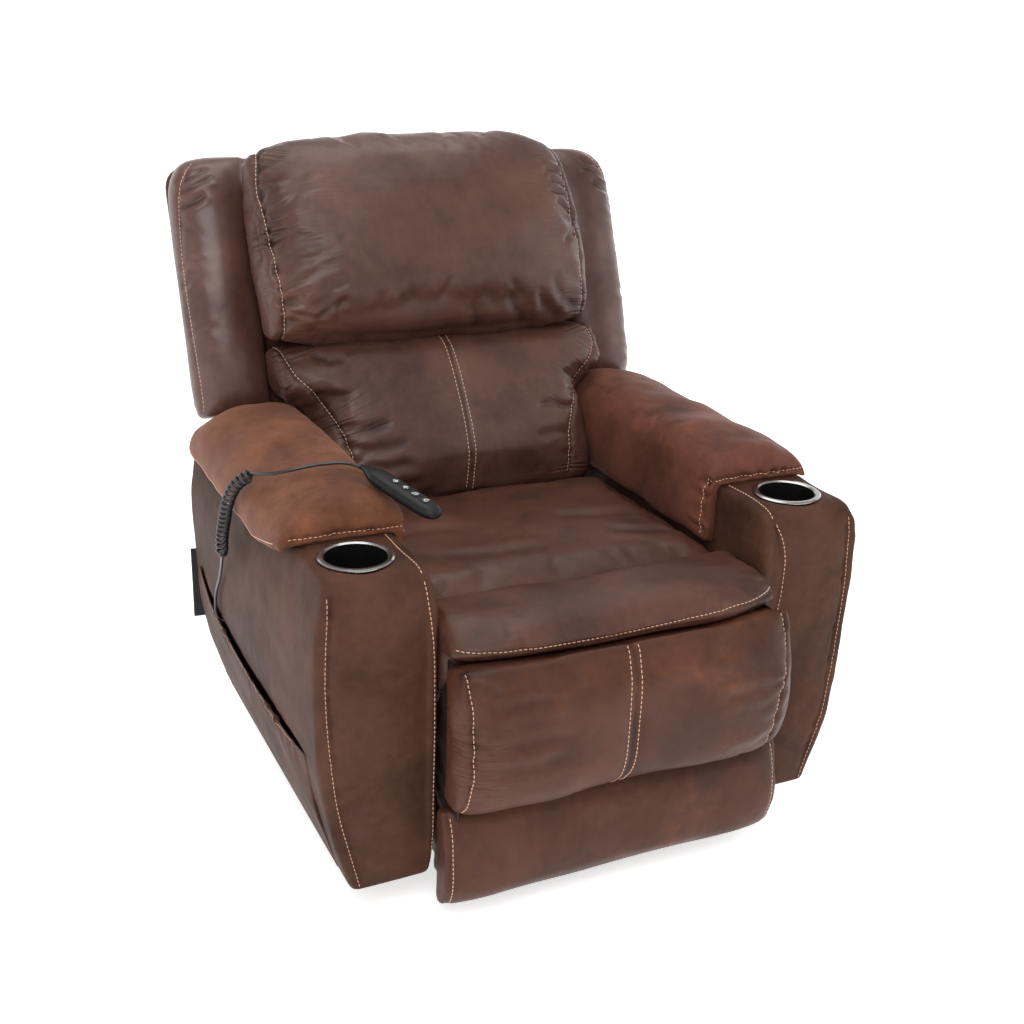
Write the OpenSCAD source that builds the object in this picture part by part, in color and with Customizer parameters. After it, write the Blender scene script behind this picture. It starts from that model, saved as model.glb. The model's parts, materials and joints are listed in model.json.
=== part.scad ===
// Power lift recliner chair: steel lift base, reclining back, scissor legrest,
// upholstered arms with cup holders and a wired handset.
// Millimetres. +X is the viewer's right, -Y the front, +Z up, origin on the floor.
// Side-view points are [distance behind the arms' front faces, height].

/* [Overall] */
// Distance from the origin to the arms' front faces
front_reach = 404; // [396:1:412]
// Wall of the square steel tubes
tube_wall = 2; // [1.5:0.5:3]
// Running clearance of a pin in its bore
pin_clear = 0.3; // [0.2:0.05:0.5]
// Gap between pieces that only lean on each other
seat_gap = 0.3; // [0.2:0.05:0.5]

/* [Lift base] */
// Width of the square tubes of the base and the lift frame
tube_w = 30; // [25:1:32]
// Distance from the middle to the centre of a base side rail
base_half = 215; // [205:1:218]
// Length of the base side rails
base_len = 645; // [600:5:660]
// Height of the floor glides
glide_h = 14; // [10:1:18]
// Radius of the floor glides
glide_r = 17; // [14:1:20]
// Radius of the lift link pins
lift_pin_r = 8; // [6:0.5:9]
// Half width of the rear lift links
rear_link_r = 16; // [14:1:18]
// Half width of the front lift links
front_link_r = 14; // [12:1:14]
// Thickness of the lift links
lift_link_t = 6; // [4:0.5:6.5]
// Outer radius of the lift torque tube
lift_tube_r = 16; // [15:0.5:18]

/* [Actuators] */
// Radius of the actuators' outer tubes
jacket_r = 16; // [14:0.5:17]
// Radius of the actuators' rods
rod_r = 9; // [7:0.5:10]
// Radius of the drive motors
motor_r = 27; // [22:1:29]
// Length of the drive motors
motor_len = 110; // [90:1:120]
// Radius of the rod end pins
rod_pin_r = 5; // [4:0.5:6]

/* [Legrest] */
// Distance from the leg drive pivot to the long link's pivot
drive_len = 126; // [122:1:130]
// Length of the long link and of the parallel link
long_len = 185; // [180:1:190]
// Length of the drive link past the long link's pivot
stub_len = 45; // [40:1:48]
// Half width of the legrest links
leg_link_r = 12; // [10:0.5:12]
// Thickness of the legrest links
leg_link_t = 5; // [4:0.25:5.25]
// Radius of the legrest pins
leg_pin_r = 5; // [4:0.5:6]
// Half width of the legrest board
board_half = 250; // [230:1:258]
// Thickness of the legrest board
board_t = 18; // [12:1:20]
// Half width of the legrest pad
leg_pad_half = 274; // [262:1:278]

/* [Seat] */
// Half width of the seat cushion
seat_half = 266; // [255:1:272]
// Half width of the front roll and the kick pad
roll_half = 277; // [265:1:280]
// Thickness of the wooden seat rails
rail_t = 19; // [16:1:20]
// Number of seat springs
spring_count = 6; // [4:1:8]
// Wire radius of the seat springs
spring_wire_r = 1.8; // [1.4:0.1:2]

/* [Arms] */
// Distance from the middle to the arms' inner faces
arm_inner = 282; // [280:1:288]
// Depth of the arms from front to rear
arm_len = 734; // [725:1:740]
// Height of the arms' tops
arm_top = 562; // [555:1:566]
// Height of the arms' lower edges
arm_low = 60; // [50:1:75]
// Radius of the arms' upper front corners
arm_corner = 36; // [24:1:44]
// Thickness of the padded facing over the front and top of an arm
facing_t = 10; // [7:0.5:12]
// Thickness of the padded outer side panels
side_t = 8; // [6:0.5:10]
// Thickness of the boards in the arm frames
board_arm_t = 15; // [12:1:18]
// Depth of the storage pocket
pocket_gap = 12; // [9:1:14]
// Thickness of the pocket's front panel
pocket_t = 4; // [3:0.5:5]

/* [Cup holders] */
// Radius of the cup holders' bores
cup_r = 45; // [40:0.5:46]
// Wall of the cups
cup_wall = 2.5; // [2:0.25:3]
// Depth of the cup holders
cup_depth = 75; // [60:1:90]
// Outer radius of the trim rings
ring_r = 55; // [52:0.5:57]
// Distance from the middle to the cups' centres
cup_x = 367; // [362:1:370]
// Distance from the arms' front faces to the cups' centres
cup_y = 82; // [80:1:90]

/* [Back] */
// Angle by which the back leans away from upright
back_tilt = 21; // [19:0.5:22]
// Distance from the frame's front face line to the outside of the back panel
back_depth = 70; // [66:1:72]
// Half width of the back over the arms
back_half = 440; // [430:1:446]
// Half width of the head pillow
pillow_half = 300; // [285:1:302]
// Half width of the lumbar cushion between the arm pads
lumbar_half = 248; // [235:1:250]

/* [Handset] */
// Length of the handset
handset_len = 158; // [140:1:165]
// Width of the handset
handset_w = 36; // [32:1:40]
// Thickness of the handset
handset_t = 22; // [18:1:24]
// Radius of the buttons
button_r = 6; // [5:0.25:7]
// Distance between the buttons
button_pitch = 21; // [17:0.5:22]
// Travel of the buttons
button_travel = 1.2; // [0.8:0.1:1.5]
// Radius of the handset's cord
cord_r = 2.6; // [2:0.1:2.8]
// Radius of the curls' centre line
curl_r = 7.9; // [7:0.1:8.5]
// Number of curls in the cord
curl_count = 19; // [14:1:20]

/* [Hidden] */
$fn = 48;

// Pivots in the side view: lift links
rear_foot = [150, 95];
rear_head = [520, 145];
front_foot = [105, 70];
front_head = [380, 95];
// Lift actuator: base pivot, and the pin on the torque tube's crank
lift_motor_at = [600, 62];
lift_pin_at = [184, 156];
// Legrest: drive and guide pivots, and the pin that the guide holds
drive_at = [40, 272];
guide_at = [95, 332];
guide_pin_at = [68, 160];
// Angle of a legrest link, 0 hanging down, 90 forward, 180 up
function aim(a) = [-sin(a), -cos(a)];
drive_angle = 1;
long_angle = 167;
stub_angle = 7;
long_foot = drive_at + drive_len * aim(drive_angle);
long_head = long_foot + long_len * aim(long_angle);
stub = stub_len * aim(stub_angle);
leg_motor_at = [420, 235];
leg_pin_at = [61, 244];
leg_motor_x = -110;
// Back: hinge, actuator pivot and the lug on the back frame
hinge_at = [610, 370];
recline_motor_at = [290, 225];
recline_pin_at = [640, 280];
recline_x = 110;

// Layers of the linkage, as distances from the middle
base_in = base_half - tube_w / 2;
layer_gap = 0.7;
rear_link_x = base_in + 3.5;
ear_t = 6;
ear_x = rear_link_x + lift_link_t + 0.5;
front_link_x = ear_x + ear_t + 0.5;
head_plate_x = front_link_x + lift_link_t + 3.5;
lift_rail_x = head_plate_x + ear_t;
wood_x = lift_rail_x + tube_w;
guide_x = wood_x - 1.4 - leg_link_t;
long_x = guide_x - layer_gap - leg_link_t;
drive_x = long_x - layer_gap - leg_link_t;
parallel_x = drive_x - layer_gap - leg_link_t;

// Heights and depths of the frames
rail_low = 120;
rail_top = rail_low + tube_w;
rail_front = 95;
rail_back = 640;
base_top = glide_h + tube_w;
base_front = -5;
seat_low = 350;
wood_low = 230;
wood_top = 345;
wood_front = 115;
ply_t = 12.4;
facing_back = arm_len - 2;

// The side-view frame set on the origin
module in_place() translate([0, -front_reach, 0]) children();
module both_sides() { children(); mirror([1, 0, 0]) children(); }
// A plate from x outwards whose outline is drawn in the side view
module plate(x, t) translate([x, 0, 0]) rotate([90, 0, 90]) linear_extrude(t) children();
// A round bar across the chair
module pin(p, x, len, r) plate(x, len) translate(p) circle(r);
// A straight bar with round ends
module bar2d(p, q, r) {
    n = [p[1] - q[1], q[0] - p[0]] / norm(q - p) * r;
    translate(p) circle(r);
    translate(q) circle(r);
    polygon([p + n, q + n, q - n, p - n]);
}
module holes2d(points, r) for (p = points) translate(p) circle(r);
// Rectangular tubes, open at their ends, along x and along y
module tube_x(x, len, y, z, w = tube_w, h = tube_w) difference() {
    translate([x, y, z]) cube([len, w, h]);
    translate([x - 1, y + tube_wall, z + tube_wall]) cube([len + 2, w - 2 * tube_wall, h - 2 * tube_wall]);
}
module tube_y(x, y, len, z, w = tube_w, h = tube_w) difference() {
    translate([x, y, z]) cube([w, len, h]);
    translate([x + tube_wall, y - 1, z + tube_wall]) cube([w - 2 * tube_wall, len + 2, h - 2 * tube_wall]);
}
// Frame whose y axis runs from p towards q in the side view
module along(p, q) translate([0, p[0], p[1]]) rotate([atan2(q[1] - p[1], q[0] - p[0]), 0, 0]) children();

// Smooth closed curve through points: n steps between each two
function mix3(a, b, c, d, t) = 0.5 * (2 * b + (c - a) * t + (2 * a - 5 * b + 4 * c - d) * t * t
    + (3 * b - a - 3 * c + d) * t * t * t);
function closed_curve(p, n) = [for (i = [0:len(p) - 1], k = [0:n - 1])
    mix3(p[(i + len(p) - 1) % len(p)], p[i], p[(i + 1) % len(p)], p[(i + 2) % len(p)], k / n)];
function open_curve(p, n) = concat([for (i = [0:len(p) - 2], k = [0:n - 1])
    mix3(p[max(i - 1, 0)], p[i], p[i + 1], p[min(i + 2, len(p) - 1)], k / n)], [p[len(p) - 1]]);
function mean(p, i = 0) = i == len(p) ? p[0] * 0 : p[i] / len(p) + mean(p, i + 1);
// Skin between rings of equally many points
function skin_faces(m, n) = [for (i = [0:n - 2], k = [0:m - 1], h = [0, 1]) h == 0
    ? [i * m + k, (i + 1) * m + k, (i + 1) * m + (k + 1) % m]
    : [i * m + k, (i + 1) * m + (k + 1) % m, i * m + (k + 1) % m]];
// Rings of a thin bent section, closed by strips between its two sides
module loft_sheet(rings) {
    m = len(rings[0]);
    e = (len(rings) - 1) * m;
    polyhedron([for (r = rings, p = r) p], concat(skin_faces(m, len(rings)),
        [for (k = [0:m / 2 - 2]) [k, k + 1, m - 2 - k]], [for (k = [0:m / 2 - 2]) [k, m - 2 - k, m - 1 - k]],
        [for (k = [0:m / 2 - 2]) [e + k, e + m - 2 - k, e + k + 1]], [for (k = [0:m / 2 - 2]) [e + k, e + m - 1 - k, e + m - 2 - k]]));
}
// Rings closed by fans at both ends; tip, if given, is how far across the fans' middles lie
module loft(rings, tip = 0) {
    m = len(rings[0]);
    n = len(rings);
    polyhedron(concat([for (r = rings, p = r) p], [tip > 0 ? [-tip, mean(rings[0])[1], mean(rings[0])[2]] : mean(rings[0]),
        tip > 0 ? [tip, mean(rings[n - 1])[1], mean(rings[n - 1])[2]] : mean(rings[n - 1])]),
        concat(skin_faces(m, n),
            [for (k = [0:m - 1]) [n * m, k, (k + 1) % m]],
            [for (k = [0:m - 1]) [n * m + 1, (n - 1) * m + (k + 1) % m, (n - 1) * m + k]]));
}
// A cushion across the chair: its profile shrinks towards the back anchor near its ends
cushion_steps = 12;
function draw_in(s, edge) = edge + (1 - edge) * sqrt(max(0, 1 - pow(abs(s), 3.2)));
module cushion(profile, half, anchor, edge = 0.72, steps = cushion_steps, tip = 0)
    loft([for (i = [0:steps]) let (s = sin(-90 + 180 * i / steps), g = draw_in(s, edge))
        [for (k = [0:len(profile) - 1]) let (p = profile[k])
            [(is_list(half) ? half[k] : half) * s, anchor[0] + (p[0] - anchor[0]) * g, anchor[1] + (p[1] - anchor[1]) * g]]], tip);
// Point of the back's own frame, u across the back and v up along it
function back_at(u, v) = hinge_at + [u * cos(back_tilt) + v * sin(back_tilt), -u * sin(back_tilt) + v * cos(back_tilt)];
module in_back() translate([0, hinge_at[0], hinge_at[1]]) rotate([-back_tilt, 0, 0]) children();
// Tube along points: sides around, centre line p
function unit(v) = v / norm(v);
function tangents(p) = [for (i = [0:len(p) - 1]) unit(p[min(i + 1, len(p) - 1)] - p[max(i - 1, 0)])];
function side_of(t, a) = unit(a - t * (a * t));
function frames(t, i = 0, a = [0, 0, 1]) = i == len(t) ? [] : let (s = side_of(t[i], a)) concat([s], frames(t, i + 1, s));
module swept(p, r, sides = 8, start = [0.3, 0.4, 0.86]) {
    t = tangents(p);
    f = frames(t, 0, start);
    loft([for (i = [0:len(p) - 1]) let (a = f[i], b = cross(t[i], f[i]))
        [for (k = [0:sides - 1]) p[i] + r * (a * cos(360 * k / sides) + b * sin(360 * k / sides))]]);
}

// ---- Lift base ----
steel = [0.12, 0.12, 0.13];
zinc = [0.62, 0.63, 0.65];
module base_side_rails() color(steel) in_place() both_sides()
    tube_y(base_in, base_front, base_len, glide_h);
cross_fronts = [40, 590];
module base_cross_tubes() color(steel) in_place() {
    for (y = cross_fronts) tube_x(-base_in + seat_gap, 2 * (base_in - seat_gap), y, glide_h);
    fork(0) {
        translate(lift_motor_at) circle(13);
        polygon([[cross_fronts[1] + 1, base_top - 0.5], [cross_fronts[1] + tube_w - 1, base_top - 0.5],
            lift_motor_at + [12.5, 3], lift_motor_at + [-12.5, 3]]);
    }
    fork_pin(0, lift_motor_at);
}
module base_glides() color([0.05, 0.05, 0.05]) in_place() both_sides() for (y = [25, base_len - 35])
    translate([base_half, y, 0]) {
        cylinder(h = 5, r = glide_r);
        translate([0, 0, 5 - seat_gap]) cylinder(h = glide_h - 5, r = glide_r - 5);
    }
// Upright ears on the base rails, with the pins of the rear and the front links
module base_link_brackets() color(steel) in_place() both_sides() {
    plate(ear_x, ear_t) difference() {
        union() {
            bar2d(rear_foot, front_foot, rear_link_r);
            polygon([[front_foot[0] - 25, base_top + seat_gap], [rear_foot[0] + 30, base_top + seat_gap],
                [rear_foot[0] + 13, rear_foot[1] + 9], [front_foot[0] - 13, front_foot[1] + 9]]);
        }
        translate([0, base_top + seat_gap - 50]) square([300, 50]);
        holes2d([[(rear_foot[0] + front_foot[0]) / 2, base_top + 18]], 5);
    }
    pin(rear_foot, rear_link_x - 8, ear_x - rear_link_x + 9, lift_pin_r);
    pin(front_foot, ear_x + 1, lift_link_t + ear_t + 0.5, lift_pin_r);
    pin(front_foot, front_link_x + lift_link_t + 0.5, 2, lift_pin_r + 2);
}
lug_half = 9;
fork_t = 6;
fork_gap = 0.4;
// Fork of two plates that stands on a cross tube and holds an actuator's pin
module fork(x, outline) for (s = [-1, 1]) plate(x + s * (lug_half + fork_gap + fork_t / 2) - fork_t / 2, fork_t) children();
module fork_pin(x, at) pin(at, x - lug_half - fork_gap - fork_t, 2 * (lug_half + fork_gap + fork_t), rod_pin_r);
// ---- Lift links ----
crank_r = 13;
module lift_rear_links() color(zinc) in_place() both_sides()
    plate(rear_link_x, lift_link_t) difference() {
        bar2d(rear_foot, rear_head, rear_link_r);
        holes2d([rear_foot, rear_head], lift_pin_r + pin_clear);
        bar2d(rear_foot + (rear_head - rear_foot) * 0.2, rear_foot + (rear_head - rear_foot) * 0.8, 4);
    }
// Crank plates on a torque tube: a slot lets the rod's pin creep along the crank
module crank(x, centre, at, tube_r, slot, half) fork(x) difference() {
    bar2d(centre, at + unit(at - centre) * (slot[1] - 1), tube_r + 4);
    translate(centre) circle(tube_r - 0.5);
    bar2d(at + unit(at - centre) * slot[0], at + unit(at - centre) * slot[1], half);
}
lift_slot = [-6.6, 5];
leg_slot = [-7.8, 7];
back_slot = [-6, 5.6];
slot_half = rod_pin_r + 2.3;
leg_slot_half = rod_pin_r + 3.8;
torque_wall = 3;
module torque_tube(at, half, r) difference() {
    pin(at, -half + seat_gap, 2 * (half - seat_gap), r);
    pin(at, -half - 1, 2 * half + 2, r - torque_wall);
}
module lift_torque_tube() color(steel) in_place() {
    torque_tube(rear_foot, rear_link_x, lift_tube_r);
    crank(0, rear_foot, lift_pin_at, lift_tube_r, lift_slot, slot_half);
}
module lift_front_links() color(zinc) in_place() both_sides()
    plate(front_link_x, lift_link_t) difference() {
        bar2d(front_foot, front_head, front_link_r);
        holes2d([front_foot], lift_pin_r + pin_clear);
        holes2d([front_head], lift_pin_r + pin_clear + 0.5);
    }

// ---- Actuators: eye, gear housing, outer tube and motor; the rod slides in the tube ----
eye_r = 11;
jacket_wall = 3;
module actuator(x, at, to, jacket_end, side) along(at, to) translate([x, 0, 0]) difference() {
    union() {
        rotate([0, 90, 0]) translate([0, 0, -lug_half]) cylinder(h = 2 * lug_half, r = eye_r);
        translate([-lug_half, 0, -eye_r]) cube([2 * lug_half, 26, 2 * eye_r]);
        translate([-20, 16, -22]) cube([40, 62, 44]);
        translate([0, 70, 0]) rotate([-90, 0, 0]) cylinder(h = jacket_end - 70, r = jacket_r);
        translate([side > 0 ? 10 : -motor_r - 36, 24, -motor_r]) cube([motor_r + 26, 46, 2 * motor_r]);
        translate([side * (motor_r + 12), 60, 0]) rotate([-90, 0, 0]) cylinder(h = motor_len, r = motor_r);
    }
    rotate([0, 90, 0]) translate([0, 0, -50]) cylinder(h = 100, r = rod_pin_r + pin_clear);
    translate([0, 74, 0]) rotate([-90, 0, 0]) cylinder(h = jacket_end, r = jacket_r - jacket_wall);
}
module rod(x, at, to, inside, eye_pin) color(zinc) in_place() {
    along(at, to) translate([x, 0, 0]) {
        len = norm(to - at);
        translate([0, inside, 0]) rotate([-90, 0, 0]) cylinder(h = len - inside - eye_r + 2, r = rod_r);
        translate([0, inside, 0]) rotate([-90, 0, 0]) cylinder(h = 14, r = jacket_r - jacket_wall - pin_clear);
        translate([-lug_half, len, 0]) rotate([0, 90, 0]) cylinder(h = 2 * lug_half, r = eye_r);
    }
    pin(to, x - eye_pin, 2 * eye_pin, rod_pin_r);
}
rod_pin_half = lug_half + fork_gap + fork_t;
lift_jacket = 400;
leg_jacket = 290;
back_jacket = 240;
module lift_motor() color(steel) in_place() actuator(0, lift_motor_at, lift_pin_at, lift_jacket, 1);
module lift_rod() rod(0, lift_motor_at, lift_pin_at, lift_jacket - 100, rod_pin_half);
module legrest_motor() color(steel) in_place() actuator(leg_motor_x, leg_motor_at, leg_pin_at, leg_jacket, 1);
module legrest_rod() rod(leg_motor_x, leg_motor_at, leg_pin_at, leg_jacket - 80, rod_pin_half);
module recline_motor() color(steel) in_place() actuator(recline_x, recline_motor_at, recline_pin_at, back_jacket, -1);
module recline_rod() rod(recline_x, recline_motor_at, recline_pin_at, 155, rod_pin_half);

// ---- Lift frame under the seat ----
module lift_frame_rails() color(steel) in_place() both_sides()
    tube_y(lift_rail_x, rail_front, rail_back - rail_front, rail_low);
module lift_frame_cross_tubes() color(steel) in_place() for (y = [rail_front, rail_back - tube_w])
    tube_x(-lift_rail_x + seat_gap, 2 * (lift_rail_x - seat_gap), y, rail_low);
// Plates inside the rails with the pins of the lift links' upper ends
module lift_frame_brackets() color(steel) in_place() both_sides() {
    plate(head_plate_x, ear_t - seat_gap) {
        translate([rear_head[0] - 30, rail_low]) square([60, tube_w]);
        translate([front_head[0] - 18, front_head[1]]) square([36, rail_top - front_head[1]]);
        translate(front_head) circle(18);
    }
    pin(rear_head, rear_link_x, head_plate_x - rear_link_x + 1, lift_pin_r);
    pin(rear_head, rear_link_x - 2.5, 2, lift_pin_r + 3);
    pin(rear_head, rear_link_x - 1, 2, lift_pin_r);
    pin(front_head, front_link_x, head_plate_x - front_link_x + 1, lift_pin_r);
}

// ---- Mechanism: side plates on the lift frame, for the legrest and the back's hinge ----
nose_r = 15;
mech_tubes = [[270, 180], [408, 180]];
mech_w = 25;
module mechanism_plates() color(zinc) in_place() both_sides() {
    plate(long_x, leg_link_t) difference() {
        union() {
            bar2d(drive_at, guide_at, nose_r);
            polygon([drive_at + [12, -10], [125, rail_top + seat_gap], [rail_back, rail_top + seat_gap],
                [rail_back, 330], hinge_at + [17, -2], hinge_at + [-17, 0], [560, wood_top], guide_at + [0, wood_top - guide_at[1]]]);
            translate(hinge_at) circle(17);
        }
        for (y = [185, 345, 490]) bar2d([y, 215], [y + 80, 215], 22);
        translate([0, wood_top]) square([500, 60]);
    }
    pin(drive_at, drive_x - 9, long_x - drive_x + 10, leg_pin_r);
    pin(guide_at, long_x, guide_x + leg_link_t - long_x, leg_pin_r);
    pin(hinge_at, long_x - 12, 13, lift_pin_r);
}
module mechanism_cross_tubes() color(steel) in_place() {
    for (p = mech_tubes) tube_x(-long_x + seat_gap, 2 * (long_x - seat_gap), p[0], p[1], mech_w, mech_w);
    fork(recline_x) difference() {
        union() {
            translate(recline_motor_at) circle(12);
            polygon([mech_tubes[0] + [1, mech_w - 0.5], mech_tubes[0] + [mech_w - 1, mech_w - 0.5],
                recline_motor_at + [11, 0], recline_motor_at + [-11, 0]]);
        }
    }
    fork_pin(recline_x, recline_motor_at);
    fork(leg_motor_x) union() {
        translate(leg_motor_at) circle(12);
        polygon([mech_tubes[1] + [1, mech_w - 0.5], mech_tubes[1] + [mech_w - 1, mech_w - 0.5],
            leg_motor_at + [11, 0], leg_motor_at + [-11, 0]]);
    }
    fork_pin(leg_motor_x, leg_motor_at);
}
// Spacers between the plates and the wooden rails
module mechanism_bolts() color(zinc) in_place() both_sides() for (y = [180, 330, 560])
    pin([y, 280], long_x + leg_link_t + seat_gap, wood_x - long_x - leg_link_t - 2 * seat_gap, 9);

// ---- Legrest scissor ----
torque_r = 12;
module legrest_torque_tube() color(steel) in_place() {
    torque_tube(drive_at, drive_x, torque_r);
    crank(leg_motor_x, drive_at, leg_pin_at, torque_r, leg_slot, leg_slot_half);
}
module legrest_drive_links() color(zinc) in_place() both_sides() {
    plate(drive_x, leg_link_t) difference() {
        union() {
            bar2d(drive_at, long_foot, leg_link_r);
            bar2d(long_foot, long_foot + stub, leg_link_r);
        }
        holes2d([drive_at], leg_pin_r + pin_clear);
    }
    pin(long_foot, drive_x + 1, long_x + leg_link_t - drive_x - 1, leg_pin_r);
    pin(long_foot + stub, parallel_x, drive_x - parallel_x + 1, leg_pin_r);
}
module legrest_long_links() color(zinc) in_place() both_sides() {
    plate(long_x, leg_link_t) difference() {
        union() {
            bar2d(long_foot, long_head, leg_link_r);
            bar2d(long_foot, guide_pin_at, leg_link_r);
        }
        holes2d([long_foot], leg_pin_r + pin_clear);
    }
    pin(guide_pin_at, long_x + 1, guide_x + leg_link_t - long_x - 1, leg_pin_r);
    pin(long_head, drive_x, long_x - drive_x + 1, leg_pin_r);
}
module legrest_parallel_links() color(zinc) in_place() both_sides()
    plate(parallel_x, leg_link_t) difference() {
        bar2d(long_foot + stub, long_head + stub, leg_link_r);
        holes2d([long_foot + stub, long_head + stub], leg_pin_r + pin_clear);
    }
module legrest_guide_links() color(zinc) in_place() both_sides()
    plate(guide_x, leg_link_t) difference() {
        bar2d(guide_at, guide_pin_at, leg_link_r);
        holes2d([guide_at], leg_pin_r + pin_clear);
        holes2d([guide_pin_at], leg_pin_r + pin_clear + 1.4);
    }
board_back = -27;
foot_t = 3;
board_low = 215;
board_high = 398;
module legrest_brackets() color(steel) in_place() both_sides() {
    plate(drive_x, leg_link_t) difference() {
        union() {
            bar2d(long_head, long_head + stub, leg_link_r - 2);
            translate([board_back + seat_gap, long_head[1] + stub[1] - 10])
                square([long_head[0] + stub[0] - board_back, -stub[1] + 20]);
        }
        holes2d([long_head], leg_pin_r + pin_clear);
        translate([long_head[0] + stub[0], long_head[1] + stub[1] - 30]) square([40, 20]);
    }
    pin(long_head + stub, parallel_x, drive_x - parallel_x + 1, leg_pin_r);
    translate([parallel_x - 22, board_back + seat_gap, long_head[1] + stub[1] - 10])
        cube([drive_x - parallel_x + 23, foot_t, -stub[1] + 20]);
}
module legrest_board() color([0.72, 0.56, 0.36]) in_place()
    translate([-board_half, board_back - board_t, board_low]) cube([2 * board_half, board_t, board_high - board_low]);
hide = [0.33, 0.13, 0.1];
leg_pad_points = [[-45.3, 412], [-50, 428], [-66, 430], [-93, 400], [-112, 355], [-117, 300], [-106, 245], [-86, 212], [-64, 203],
    [-49, 208], [-45.3, 224], [-45.3, 318]];
// The pad's back lies flat against its board
function flat_back(p, y) = [for (q = p) [min(q[0], y), q[1]]];
module legrest_pad() color(hide) in_place()
    cushion(flat_back(closed_curve(leg_pad_points, 3), board_back - board_t - seat_gap), leg_pad_half,
        [board_back - board_t - seat_gap, 320], 0.8);

// ---- Kick panel, the legrest's lower part, hung from its board by straps ----
kick_board_t = 12;
kick_low = 50;
kick_high = 194;
strap_w = 20;
strap_x = 150;
strap_low = 70;
strap_high = 300;
module kick_straps() color(steel) in_place() both_sides()
    translate([strap_x, board_back + seat_gap, strap_low]) difference() {
        cube([strap_w, foot_t, strap_high - strap_low]);
        for (z = [20, 95, 170, 210]) translate([strap_w / 2, -1, z]) rotate([-90, 0, 0]) cylinder(h = foot_t + 2, r = 3);
    }
module kick_board() color([0.72, 0.56, 0.36]) in_place()
    translate([-roll_half + 12, board_back - kick_board_t, kick_low]) cube([2 * roll_half - 24, kick_board_t, kick_high - kick_low]);
kick_points = [[-39.3, 182], [-43, 195], [-54, 195], [-67, 165], [-75, 112], [-70, 70], [-56, 45], [-44, 40], [-39.3, 52], [-39.3, 118]];
module kick_pad() color(hide) in_place()
    cushion(flat_back(closed_curve(kick_points, 2), board_back - kick_board_t - seat_gap), roll_half,
        [board_back - kick_board_t - seat_gap, 118], 0.78, 10);

// ---- Seat ----
wood = [0.76, 0.6, 0.4];
module seat_side_rails() color(wood) in_place() both_sides()
    translate([wood_x, wood_front, wood_low]) cube([rail_t, 640 - wood_front, wood_top - wood_low]);
module seat_cross_rails() color(wood) in_place() {
    w = long_x - seat_gap;
    translate([-w, 118, 270]) cube([2 * w, rail_t, 67]);
    translate([-w, 25, 337 + seat_gap]) cube([2 * w, 112, ply_t - 2 * seat_gap]);
    translate([-w, 520, 300]) cube([2 * w, rail_t, wood_top - 300]);
}
// Springs arched lengthwise from the front rail to the rear one
spring_pitch = 70;
spring_z = wood_top - 3.6;
module seat_springs() color(zinc) in_place() for (i = [0:spring_count - 1])
    translate([(i - (spring_count - 1) / 2) * spring_pitch, 137.3, spring_z])
        rotate([-90, 0, 0]) cylinder(h = 520 - 137.6, r = spring_wire_r, $fn = 16);

// ---- Arms ----
// Outer side of an arm seen from the front, [distance from the middle, height]
arm_side_line = open_curve([[405, arm_low], [421, 110], [436, 160], [448, 230], [455, 300], [458, 390],
    [455, 470], [447, 520], [436, arm_top]], 3);
function inset(d) = [for (p = arm_side_line) [p[0] - d, p[1]]];
// The arm's whole section, and a skin of it from one inset to another
module arm_section(x, d) polygon(concat([[x, arm_low]], inset(d), [[x, arm_top]]));
module skin_section(outer, inner) polygon(concat(inset(outer), [for (i = [len(arm_side_line) - 1:-1:0]) inset(inner)[i]]));
module run_y(y0, y1) translate([0, y1, 0]) rotate([90, 0, 0]) linear_extrude(y1 - y0) children();
cup_at = [cup_x, cup_y];
cup_hole_r = cup_r + cup_wall + 1;
module cup_hole() translate([cup_x, cup_y, arm_top - 60]) cylinder(h = 70, r = cup_hole_r);
inner_skin_t = 3;
board_in = arm_inner + inner_skin_t + seat_gap;
board_top = arm_top - facing_t - seat_gap;
skin_in = side_t + seat_gap;
module arm_inner_panels() color(hide) in_place() both_sides()
    plate(arm_inner, inner_skin_t) arm_profile(0);
// Side view of an arm: the whole of it, drawn in by d, with its round top front corner
module arm_profile(d) difference() {
    translate([d, arm_low]) square([facing_back - d, arm_top - d - arm_low]);
    translate([d, arm_top - arm_corner]) difference() {
        translate([-1, 0]) square([arm_corner + 1 - d, arm_corner + 1]);
        translate([arm_corner - d, 0]) circle(arm_corner - d);
    }
}
// Padded cover over the front and the top of both arms
module arm_facings() color(hide) in_place() both_sides() difference() {
    intersection() {
        plate(board_in, 200) difference() {
            arm_profile(0);
            arm_profile(facing_t);
            translate([facing_t, arm_low - 1]) square([arm_len, 2]);
            translate([facing_back - 1, 0]) square([2, arm_top - facing_t]);
        }
        run_y(-1, arm_len) arm_section(arm_inner, 0);
    }
    cup_hole();
}
// Boards of the arm frames, glued edge to edge: inner, front, rear and top
arm_foot = 75;
module arm_frames() color(wood) in_place() both_sides() {
    back_y = facing_back - board_arm_t;
    front_y = facing_t + seat_gap + 3;
    plate(board_in, board_arm_t) difference() {
        translate([front_y, arm_foot]) square([back_y + board_arm_t - front_y, board_top - board_arm_t - arm_foot - seat_gap]);
        translate([150, 150]) square([420, 70]);
    }
    intersection() {
        union() {
            translate([board_in + board_arm_t + seat_gap, front_y, arm_foot])
                cube([200, board_arm_t, board_top - board_arm_t - arm_foot - seat_gap]);
            translate([board_in + board_arm_t + seat_gap, back_y, arm_foot])
                cube([200, board_arm_t, board_top - board_arm_t - arm_foot - seat_gap]);
            difference() {
                translate([board_in, front_y + 22, board_top - board_arm_t]) cube([200, back_y + board_arm_t - front_y - 22, board_arm_t]);
                cup_hole();
            }
        }
        run_y(-1, arm_len) arm_section(arm_inner, panel_t + seat_gap);
    }
}
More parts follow.
